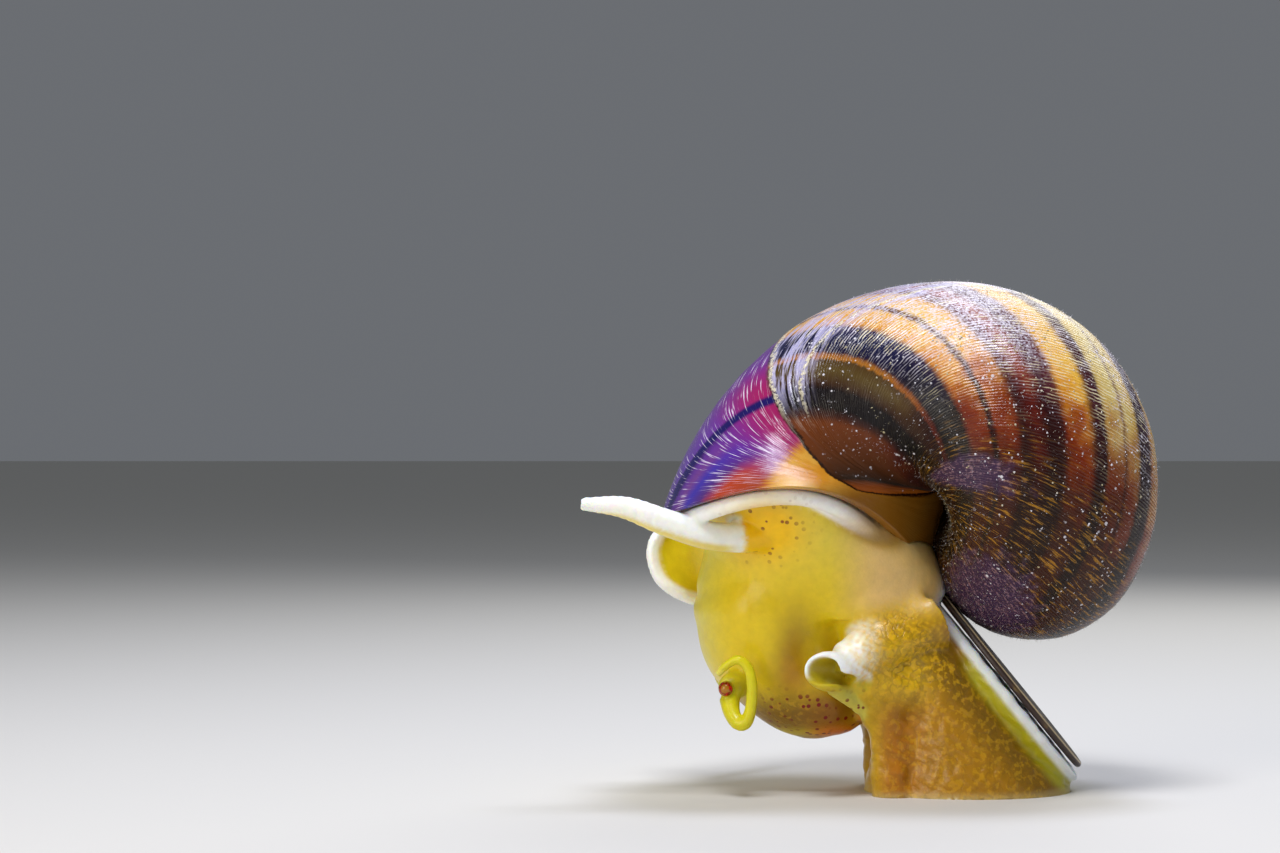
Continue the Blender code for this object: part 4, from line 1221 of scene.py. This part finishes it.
    def pad(self, sides: int = 96) -> Surface:
        """The pad under the operculum: the plate's outline, grown, with a rounded brim."""
        middle, up, across, out = FORM.plate_frame()
        angle = np.linspace(0, TURN, sides, endpoint=False)
        taper = 1 - FORM.plate_taper * np.cos(angle)
        depth, spread = np.array(FORM.pad_brim).T
        spread = spread * FORM.pad_overhang
        length = (FORM.plate_half_length + spread[:, None]) * np.cos(angle)
        width = (FORM.plate_half_width + spread[:, None]) * np.sin(angle) * taper
        return Surface.grid(middle + length[..., None] * up + width[..., None] * across
                            + depth[:, None, None] * out)

    def relax_cheeks(self, piece: bpy.types.Object) -> None:
        """Smooths the joints of neck, head and foot on both sides, but not the scrolls and the lobe."""
        x, y, z = points_of(piece).T
        side = np.abs(y)
        # The cheek ends above the scroll, along a slant, and before the feeler
        scroll_top = np.where(side < 6.3, 13.0, 30.0 + 1.1 * x)
        chosen = (x > -20.5) & (x < -9.0) & (z > scroll_top) & (z < 23.0) & ((side < 8.2) | (x > -15.0))
        for back, front, low, high, inner in self.joints:
            chosen |= (x > back) & (x < front) & (z > low) & (z < high) & (side > inner)
        chosen &= side > 1.0
        group = piece.vertex_groups.new(name="cheeks")
        group.add(np.flatnonzero(chosen).tolist(), 1.0, "REPLACE")
        smooth = piece.modifiers.new("relax", "SMOOTH")
        smooth.factor, smooth.iterations, smooth.vertex_group = 0.5, self.relaxing, group.name
        settle(piece)
        piece.vertex_groups.clear()

    def shell_wall(self, rings: int = 26, steps: int = 5, sides: int = 180) -> Surface:
        """The shell's wall near the mouth as a closed solid, which the skin must not cross."""
        outside, inside = FORM.cutter_insets
        inward = np.linspace(1, FORM.cutter_depth, rings)
        depth = np.concatenate([inward[::-1], np.zeros(steps), inward])
        bend = (1 - np.cos(np.linspace(0, np.pi, steps))) / 2
        inset = np.concatenate([np.full(rings, outside), outside + (inside - outside) * bend,
                                np.full(rings, inside)])
        back, girth = np.meshgrid(depth, np.linspace(0, 360, sides, endpoint=False), indexing="ij")
        return Surface.grid(WHORLS.place(back, girth, inset[:, None]), None)

    def lumps(self) -> Surface:
        """Every part of the body as overlapping closed surfaces."""
        parts = [slices(FORM.head), slices(FORM.foot), self.neck(), self.plug(), self.mantle_edge()]
        parts += [self.pad(), self.bored_siphon(), self.flap()]
        parts += [tube(np.array(feeler), 90, 20) for feeler in (FORM.feeler_left, FORM.feeler_right)]
        for side in Side:
            parts.append(self.corner(side))
            parts += [tube(on_side(ridge, side), 40, 32, round_tip=False)
                      for ridge in (FORM.shoulder, FORM.front_edge, FORM.corner_fill, FORM.front_fold)]
            parts += [tube(on_side(FORM.palp, side), 30, 20), tube(on_side(FORM.eye_stalk, side), 40, 32)]
        return Surface.joined(parts)

    def build(self) -> bpy.types.Object:
        """Melts the lumps into one skin, flattens the sole, folds it finely and paints it.

        Returns:
            The skin.
        """
        piece = self.lumps().to_object("snail_skin")
        remesh = piece.modifiers.new("melt", "REMESH")
        remesh.mode = "VOXEL"
        remesh.voxel_size = self.voxel * MM
        smooth = piece.modifiers.new("smooth", "SMOOTH")
        smooth.factor, smooth.iterations = 0.5, self.smoothing
        wall = self.shell_wall().to_object("wall_cutter")
        cut = piece.modifiers.new("cut", "BOOLEAN")
        cut.operation, cut.solver, cut.object = "DIFFERENCE", "MANIFOLD", wall
        settle(piece)
        bpy.data.objects.remove(wall, do_unlink=True)
        self.relax_cheeks(piece)
        points, normals = points_of(piece), normals_of(piece)
        points = points + normals * self.folds(points)[:, None]
        points[:, 2] = np.maximum(points[:, 2], 0.0)
        move_points(piece, points)
        thin = piece.modifiers.new("thin", "DECIMATE")
        thin.ratio = min(1.0, self.triangles / (2 * len(piece.data.polygons)))
        settle(piece)
        shade_round(piece)
        points = points_of(piece)
        self.paint(piece, points)
        return piece

    def folds(self, points: np.ndarray) -> np.ndarray:
        """Height of the skin's fine folds in millimetres.

        Sums of sines along slanted directions, so that furrows cross and break: coarse on the foot,
        ring-like round the siphon and the feelers, none on the smooth head.

        Args:
            points: places on the skin.

        Returns:
            One height for each place.
        """
        x, y, z = points.T
        on_foot = ease(-14, -8, x) * ease(17, 12, z) * ease(0.1, 1.2, z)
        wave = np.sin(2.1 * x + 1.3 * z + 1.4 * np.sin(0.9 * z + 0.6 * y))
        cross = np.sin(2.6 * z - 1.1 * x + 1.2 * np.sin(1.1 * x + 0.7 * y))
        small = np.sin(5.3 * x + 4.1 * z + 3.0 * np.sin(1.7 * z + y))
        coarse = self.fold_height * on_foot * (wave * cross + 0.5 * small)
        ringed = ease(-26, -30, x) * ease(-6, -9, y) * ease(23, 24.5, z)
        rings = self.ring_height * ringed * np.sin(8.0 * x + 1.5 * np.sin(3 * z))
        return coarse + rings

    def near(
        self, points: np.ndarray, rows: tuple | np.ndarray, count: int = 80
    ) -> tuple[np.ndarray, np.ndarray]:
        """Distance to a line, and how far along it (0 to 1) the nearest place is.

        Args:
            points: places on the skin.
            rows: the line's points, any further columns left aside.
            count: places tried along the line.

        Returns:
            Distance in millimetres and place, one of each for each point.
        """
        line = smooth_rows(rows, count)[:, :3]
        square = (points**2).sum(1)[:, None] + (line**2).sum(1)[None] - 2 * points @ line.T
        nearest = square.argmin(axis=1)
        return np.sqrt(np.maximum(square.min(axis=1), 0)), nearest / (len(line) - 1)

    def measures(self, points: np.ndarray) -> dict[str, np.ndarray]:
        """Measures of place that hold for both sides: axes, the plate, the mantle's edge, siphon, lobe."""
        x, y, z = points.T
        middle, up, across, out = FORM.plate_frame()
        local = points - middle
        length, width, height = local @ up, local @ across, local @ out
        taper = 1 - FORM.plate_taper * length / (FORM.plate_half_length + 0.4)
        lip, lip_place = self.near(points, self.lip(80), 280)
        siphon, siphon_place = self.near(points, FORM.siphon)
        line = smooth_rows(FORM.siphon, 80)
        found = {
            "x": x, "y": y, "z": z, "side": np.abs(y), "over_plate": height,
            "groove": x + 16.3 - 0.13 * (z - 13.5),
            "off_plate": np.hypot(length / FORM.plate_half_length, width / (FORM.plate_half_width * taper)),
            "lip": lip, "lip_place": lip_place, "siphon": siphon, "siphon_place": siphon_place,
            "siphon_level": z - line[(siphon_place * 79).astype(int), 2],
            "lobe_rim": self.near(points, FORM.lobe_rim)[0],
            # Streaks that break up the shoulder's painted highlight
            "streaks": 0.875 + 0.125 * np.sin(3.1 * x + 2.3 * z + 1.5 * np.sin(2.2 * x - 1.4 * z)),
            "speckles": (0.5 + 0.5 * np.sin(7.3 * x + 2.0 * y + 2 * np.sin(3.1 * z))
                         * np.sin(6.1 * z - 2.4 * x)) ** 2,
        }
        found["off_siphon"] = 1 - Spot(1.0, self.zones.wrap).weight(found)
        return found

    def side_measures(self, points: np.ndarray, side: Side) -> dict[str, np.ndarray]:
        """Measures of place about one side's scroll, shoulder, fold, palp and eye stalk."""
        mouth, root = on_side((FORM.corner_mouth, FORM.corner_root), side)
        inward = (mouth[1] - points[:, 1]) / (mouth[1] - root[1])
        from_middle = points - mouth - inward[:, None] * (root - mouth)
        level = from_middle[:, 2] / FORM.corner_radii[1]
        stalk, stalk_place = self.near(points, on_side(FORM.eye_stalk, side))
        found = {
            "inward": inward, "scroll_level": level, "stalk": stalk, "stalk_place": stalk_place,
            "scroll_reach": np.hypot(from_middle[:, 0] / FORM.corner_radii[0], level),
        }
        for name, rows in (("shoulder", FORM.shoulder), ("fold", FORM.front_fold), ("palp", FORM.palp)):
            found[name] = self.near(points, on_side(rows, side))[0]
        return found

    def paint(self, piece: bpy.types.Object, points: np.ndarray) -> None:
        """Paints the skin's zones, each colour laid over the last with a soft edge.

        Args:
            piece: the skin.
            points: its vertices in millimetres.
        """
        zones, measures = self.zones, self.measures(points)
        coat = Paint.plain(zones.under, len(points))
        coat.lay_all(zones.ground(), measures)
        for side in Side:
            coat.lay_all(zones.corner(), measures | self.side_measures(points, side))
        for rows in (FORM.feeler_left, FORM.feeler_right):
            limb, limb_place = self.near(points, rows)
            coat.lay_all(zones.feeler(), measures | {"limb": limb, "limb_place": limb_place})
        coat.lay_all(zones.siphon_and_lobe(), measures)
        put_values(piece, "paint", coat.colour)
        put_values(piece, "veins", sum(spot.weight(measures) for spot in zones.veins()))
        freckled = sum(spot.weight(measures) for spot in zones.freckles())
        put_values(piece, "freckles", np.clip(freckled, 0, 1))

    def dress(self, piece: bpy.types.Object) -> None:
        """Gives the skin its finish and its place in the frame."""
        piece.data.materials.append(self.finish.make())
        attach(piece, BODY)
        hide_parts(*self.nodes)


# ---- Operculum


@dataclass(frozen=True)
class HornPlate:
    """Operculum: a plate of dark horn laid down in rings.

    It gives a dull, slightly see-through brown with darker and paler growth rings and a pale rim.
    """

    dark: str = "#2E1A12"
    brown: str = "#4C321C"
    olive: str = "#6E5A26"
    rim: str = "#CDBB96"
    rings: float = 13.0

    def make(self) -> bpy.types.Material:
        """Builds the material; it reads the painted value named reach, 0 in the middle and 1 at the rim."""
        material, add = new_material("horn_plate")
        where, reach = add("place"), add("painted", attribute_name="reach")
        cloud, fine = add("noise", where, 1 / (2.4 * MM), 3.0), add("noise", where, 1 / (0.3 * MM), 3.0)
        wavy = add("ADD", add("MULTIPLY", reach, self.rings), add("MULTIPLY", cloud, 1.6))
        ring = add("MULTIPLY_ADD", add("SINE", add("MULTIPLY", wavy, TURN)), 0.5, 0.5)
        colour = add("mix", add("rise", ring, 0.2, 0.9), self.dark, self.brown)
        greened = add("rise", add("MULTIPLY", ring, cloud), 0.3, 0.6)
        colour = add("mix", add("MULTIPLY", greened, 0.6), colour, self.olive)
        level = add("painted", attribute_name="level")
        brim = add("MULTIPLY", add("rise", add("ADD", reach, add("MULTIPLY", fine, 0.03)), 0.975, 1.0),
                   add("rise", level, 0.72, 0.88))
        colour = add("mix", brim, colour, self.rim)
        height = add("ADD", ring, add("MULTIPLY", fine, 0.7))
        wire_shader(material, {
            "Base Color": colour, "Roughness": add("MULTIPLY_ADD", fine, 0.2, 0.3), "IOR": 1.54,
            "Normal": add("bump", height, 0.5, 0.05 * MM),
        })
        return material


@dataclass
class Operculum:
    """The door of the shell, carried on the back of the foot and seen edge-on."""

    finish: HornPlate
    edge: float = 0.22
    ring_height: float = 0.03
    dish: float = 0.25
    hub: float = 0.03
    face_steps: int = 40
    edge_steps: int = 9
    columns: int = 128

    def build(self) -> bpy.types.Object:
        """Makes the plate.

        A section runs from the middle of the lower face to the rim, round it, and back over the upper
        face; it is carried round the plate's oval outline. Low steps ring the upper face, which sinks
        a little towards its middle.

        Returns:
            The plate.
        """
        middle, up, across, out = FORM.plate_frame()
        thick, half = FORM.plate_thickness, FORM.plate_half_width
        bend = np.linspace(-np.pi / 2, np.pi / 2, self.edge_steps)
        inward = 1 - self.edge / half
        flat = np.linspace(self.hub, inward, self.face_steps)
        reach = np.concatenate([flat[:-1], inward + (1 - inward) * np.cos(bend), flat[-2::-1]])
        height = np.concatenate([
            np.zeros(len(flat) - 1), thick / 2 * (1 + np.sin(bend)),
            thick + self.ring_height * np.sin(flat[-2::-1] * self.finish.rings * TURN)
            - self.dish * ease(1.0, 0.1, flat[-2::-1]),
        ])
        angle = np.linspace(0, TURN, self.columns, endpoint=False)
        length = reach[:, None] * FORM.plate_half_length * np.cos(angle)
        width = reach[:, None] * half * np.sin(angle) * (1 - FORM.plate_taper * np.cos(angle))
        points = middle + length[..., None] * up + width[..., None] * across + height[:, None, None] * out
        piece = Surface.grid(points).to_object("operculum_plate")
        shade_round(piece)
        put_values(piece, "reach", np.append(np.repeat(reach, self.columns), [0.0, 0.0]))
        put_values(piece, "level", np.append(np.repeat(height / thick, self.columns), [0.0, 1.0]))
        return piece

    def dress(self, piece: bpy.types.Object) -> None:
        """Gives the plate its finish and its place in the frame."""
        piece.data.materials.append(self.finish.make())
        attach(piece, BODY)
        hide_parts("operculum")


# ---- Eyes


@dataclass(frozen=True)
class EyeLens:
    """Snail eye: a clear wet lens over a ring of red pigment with an amber middle."""

    middle: str = "#A8700A"
    ring: str = "#780200"
    spark: str = "#C81408"
    outside: str = "#CBBE1C"
    ring_at: float = 0.82
    ring_half: float = 0.3

    def make(self) -> bpy.types.Material:
        """Builds the material; it reads the painted value named off_axis, in radians."""
        material, add = new_material("wet_eye_lens")
        where, off = add("place"), add("painted", attribute_name="off_axis")
        grains = add("noise", where, 1 / (0.24 * MM), 2.0)
        wavy = add("ADD", off, add("MULTIPLY_ADD", grains, 0.36, -0.18))
        off_ring = add("ABSOLUTE", add("SUBTRACT", wavy, self.ring_at))
        inside = add("rise", off_ring, self.ring_half, self.ring_half * 0.6)
        broken = add("MULTIPLY", inside, add("rise", grains, 0.42, 0.5))
        colour = add("mix", add("rise", wavy, 1.05, 1.3), self.middle, self.outside)
        sparkling = add("mix", add("rise", grains, 0.5, 0.62), self.ring, self.spark)
        colour = add("mix", broken, colour, sparkling)
        wire_shader(material, {
            "Base Color": colour, "Roughness": 0.2, "IOR": 1.4, "Coat Weight": 0.25, "Coat Roughness": 0.05,
        })
        return material


@dataclass
class Eye:
    """One eyeball, set in the end of its stalk."""

    finish: EyeLens
    side: Side
    axis: tuple = (-0.25, 0.95, 0.05)
    rings: int = 40
    columns: int = 48

    def build(self) -> bpy.types.Object:
        """Makes the ball: circles about the axis that the eye looks along, by angle from it."""
        centre, axis = on_side((FORM.eye_place, self.axis), self.side)
        axis /= np.linalg.norm(axis)
        one = np.cross((0.0, 0.0, 1.0), axis)
        one /= np.linalg.norm(one)
        two = np.cross(one, axis)
        off = np.linspace(0.02, np.pi - 0.02, self.rings)
        turn = np.linspace(0, TURN, self.columns, endpoint=False)[None, :, None]
        around = np.cos(turn) * one + np.sin(turn) * two
        points = centre + FORM.eye_radius * (
            np.cos(off)[:, None, None] * axis + np.sin(off)[:, None, None] * around
        )
        piece = Surface.grid(points).to_object(f"eyeball_{self.side.name.lower()}")
        shade_round(piece)
        put_values(piece, "off_axis", np.append(np.repeat(off, self.columns), [0.0, np.pi]))
        return piece

    def dress(self, piece: bpy.types.Object) -> None:
        """Gives the ball its finish and its place in the frame."""
        piece.data.materials.append(self.finish.make())
        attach(piece, BODY)
        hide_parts(f"eye_{self.side.name.lower()}")


# ---- Deposits


@dataclass(frozen=True)
class LimeDust:
    """Lime and fine algae on an old shell: dull, chalky, off-white."""

    white: str = "#DDDBE4"
    warm: str = "#B9AE8A"

    def make(self) -> bpy.types.Material:
        """Builds the material."""
        material, add = new_material("lime_dust")
        tint = add("rise", add("noise", add("place"), 1 / (1.5 * MM), 2.0), 0.4, 0.6)
        wire_shader(material, {"Base Color": add("mix", tint, self.warm, self.white), "Roughness": 0.8})
        return material


@dataclass
class ShellDeposits:
    """Crumbs of lime and short hairs of growth on the older part of the shell."""

    finish: LimeDust
    crumbs: int = 2400
    hairs: int = 4500
    seed: int = 7
    back_range: tuple = (62, 330)
    girth_range: tuple = (-110, 130)
    crumb_least: float = 0.035
    crumb_spread: float = 0.09
    # A crumb's rings: height over the shell and width, as shares of its size
    crumb_rings: tuple = ((-0.5, 0.8), (0.1, 1.0), (0.5, 0.62))
    crumb_corners: int = 6
    hair_radius: tuple = (0.010, 0.018)
    hair_length: tuple = (0.12, 0.45)
    hair_lean: float = 0.5

    def places(self, count: int, even: float, draw: np.random.Generator) -> tuple[np.ndarray, ...]:
        """Random places on the older shell, thickest on the top of the ball.

        Args:
            count: how many.
            even: how likely a place is to be taken far from the top, against 1 on the top.
            draw: the random numbers.

        Returns:
            Points on the surface and three unit directions: outwards and two along the surface.
        """
        tried = 6 * count
        back, girth = draw.uniform(*self.back_range, tried), draw.uniform(*self.girth_range, tried)
        likely = even + (1 - even) * bump_at(back, 125, 42) * bump_at(girth, 8, 46)
        kept = (draw.uniform(0, 1, tried) < likely) & (MARKS.fresh(back, girth) > 6)
        back, girth = back[kept][:count], girth[kept][:count]
        point = WHORLS.place(back, girth)
        along = WHORLS.place(back + 0.5, girth) - point
        aside = WHORLS.place(back, girth + 0.5) - point
        along /= np.linalg.norm(along, axis=1)[:, None]
        out = np.cross(aside, along)
        out /= np.linalg.norm(out, axis=1)[:, None]
        # Outwards is away from the middle of the tube
        out *= np.sign((out * (point - WHORLS.place(back, girth + 180))).sum(1))[:, None]
        return point, out, along, np.cross(out, along)

    def crumb_shapes(self, draw: np.random.Generator) -> Surface:
        """Flat uneven beads: rings of points about a top and a bottom point, half sunk in the shell."""
        point, out, along, aside = self.places(self.crumbs, 0.05, draw)
        count, corners = len(point), self.crumb_corners
        size = self.crumb_least + self.crumb_spread * draw.uniform(0, 1, count) ** 4
        height, width = np.array(self.crumb_rings).T
        turn = np.linspace(0, TURN, corners, endpoint=False)
        uneven = draw.uniform(0.7, 1.25, (count, len(height), corners))
        reach = size[:, None, None] * width[None, :, None] * uneven
        ring = (
            point[:, None, None]
            + (reach * np.cos(turn))[..., None] * along[:, None, None]
            + (reach * np.sin(turn))[..., None] * aside[:, None, None]
            + (size[:, None] * height)[:, :, None, None] * out[:, None, None]
        ).reshape(count, -1, 3)
        tops = (point + out * (size * 0.75)[:, None])[:, None]
        bottoms = (point - out * (size * 0.8)[:, None])[:, None]
        points = np.concatenate([ring, bottoms, tops], axis=1)
        this = np.arange(corners)
        other, top_ring = (this + 1) % corners, ring.shape[1] - corners
        quads = np.concatenate([
            np.stack([this, other, other + corners, this + corners], -1) + low
            for low in range(0, top_ring, corners)
        ])
        bottom = np.full(corners, ring.shape[1])
        fans = np.concatenate([
            np.stack([bottom, other, this], -1),
            np.stack([bottom + 1, this + top_ring, other + top_ring], -1),
        ])
        start = np.arange(count)[:, None, None] * points.shape[1]
        faces = [(quads + start).reshape(-1, 4), (fans + start).reshape(-1, 3)]
        return Surface(points.reshape(-1, 3), faces)

    def hair_shapes(self, draw: np.random.Generator) -> Surface:
        """Thin three-sided spikes that stand on the shell and lean at random."""
        point, out, along, aside = self.places(self.hairs, 0.5, draw)
        count = len(point)
        turn = np.linspace(0, TURN, 3, endpoint=False)
        foot = draw.uniform(*self.hair_radius, count)[:, None, None]
        base = (point - 0.05 * out)[:, None] + foot * (
            np.cos(turn)[None, :, None] * along[:, None] + np.sin(turn)[None, :, None] * aside[:, None]
        )
        lean = draw.normal(0, self.hair_lean, (count, 2, 1))
        towards = out + lean[:, 0] * along + lean[:, 1] * aside
        towards /= np.linalg.norm(towards, axis=1)[:, None]
        tip = point + towards * draw.uniform(*self.hair_length, count)[:, None]
        points = np.concatenate([base, tip[:, None]], axis=1)
        faces = np.array(((0, 2, 1), (0, 1, 3), (1, 2, 3), (2, 0, 3)))
        start = np.arange(count)[:, None, None] * 4
        return Surface(points.reshape(-1, 3), [(faces + start).reshape(-1, 3)])

    def build(self) -> bpy.types.Object:
        """Makes all crumbs and hairs as one piece, from one seeded run of random numbers."""
        draw = np.random.default_rng(self.seed)
        return Surface.joined([self.crumb_shapes(draw), self.hair_shapes(draw)]).to_object("shell_deposits")

    def dress(self, piece: bpy.types.Object) -> None:
        """Gives the deposits their finish and their place in the frame."""
        piece.data.materials.append(self.finish.make())
        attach(piece, BODY)


# ---- Stage


@dataclass(frozen=True)
class MattePaper:
    """Studio paper: pale, matte, even."""

    colour: str = "#D9D6CE"

    def make(self) -> bpy.types.Material:
        """Builds the material."""
        material, _ = new_material("matte_paper")
        wire_shader(material, {"Base Color": self.colour, "Roughness": 0.9})
        return material


@dataclass(frozen=True)
class Lamp:
    """A square soft light: place and aim in millimetres, size in millimetres, power in watts."""

    name: str
    place: tuple
    size: float
    power: float
    colour: str
    aim: tuple = (-8.0, 0.0, 24.0)

    def build(self) -> None:
        """Puts the lamp in the scene."""
        light = bpy.data.lights.new(self.name, "AREA")
        light.shape, light.size, light.energy = "SQUARE", self.size * MM, self.power
        light.color = linear(self.colour)[:3]
        lamp = bpy.data.objects.new(self.name, light)
        lamp.location = Vector(self.place) * MM
        lamp.rotation_euler = (Vector(self.aim) - Vector(self.place)).to_track_quat("-Z", "Y").to_euler()
        bpy.context.scene.collection.objects.link(lamp)


@dataclass
class Studio:
    """Floor, light and camera; the camera stands where the photograph's did."""

    floor_half: float = 3000.0
    camera_place: tuple = (-30.4, -316.0, 34.5)
    lens: float = 93.66
    sensor: float = 36.0
    sky: str = "#C9CED6"
    sky_strength: float = 0.25
    lamps: tuple = (
        Lamp("key", (-50.0, -170.0, 360.0), 110.0, 0.95, "#F4F6FF"),
        Lamp("top", (42.0, 40.0, 330.0), 90.0, 0.55, "#DCE4FF"),
        Lamp("fill", (-270.0, -270.0, 110.0), 200.0, 0.55, "#FFF6E6"),
        Lamp("back", (120.0, 280.0, 240.0), 220.0, 0.4, "#FFFFFF"),
    )

    def build(self) -> None:
        """Sets the stage."""
        half = self.floor_half
        corners = np.array(((-half, -half, 0), (half, -half, 0), (half, half, 0), (-half, half, 0)), float)
        floor = Surface(corners, [np.array(((0, 1, 2, 3),))]).to_object("studio_floor")
        floor.data.materials.append(MattePaper().make())
        for lamp in self.lamps:
            lamp.build()
        world = bpy.data.worlds.new("studio_air")
        world.use_nodes = True
        air = world.node_tree.nodes["Background"]
        air.inputs["Color"].default_value = linear(self.sky)
        air.inputs["Strength"].default_value = self.sky_strength
        bpy.context.scene.world = world
        camera = bpy.data.cameras.new("photo_camera")
        camera.sensor_width, camera.lens = self.sensor, self.lens
        camera.clip_start, camera.clip_end = 0.01, 20.0
        viewer = bpy.data.objects.new("photo_camera", camera)
        viewer.location = Vector(self.camera_place) * MM
        viewer.rotation_euler = (np.pi / 2, 0.0, 0.0)
        bpy.context.scene.collection.objects.link(viewer)
        bpy.context.scene.camera = viewer


def main() -> None:
    """Builds and dresses each sub-assembly in order, then the stage."""
    logging.basicConfig(level=logging.INFO, format="%(name)s: %(message)s")
    parts = [Shell(PeriostracumOverLime()), SoftBody(WetSnailSkin()), Operculum(HornPlate())]
    lens = EyeLens()
    parts += [Eye(lens, side) for side in Side]
    parts.append(ShellDeposits(LimeDust()))
    for part in parts:
        piece = part.build()
        part.dress(piece)
        piece.data.calc_loop_triangles()
        log.info("%s: %d triangles", piece.name, len(piece.data.loop_triangles))
    Studio().build()
    bpy.context.scene.view_settings.view_transform = "Standard"


if __name__ == "__main__":
    main()
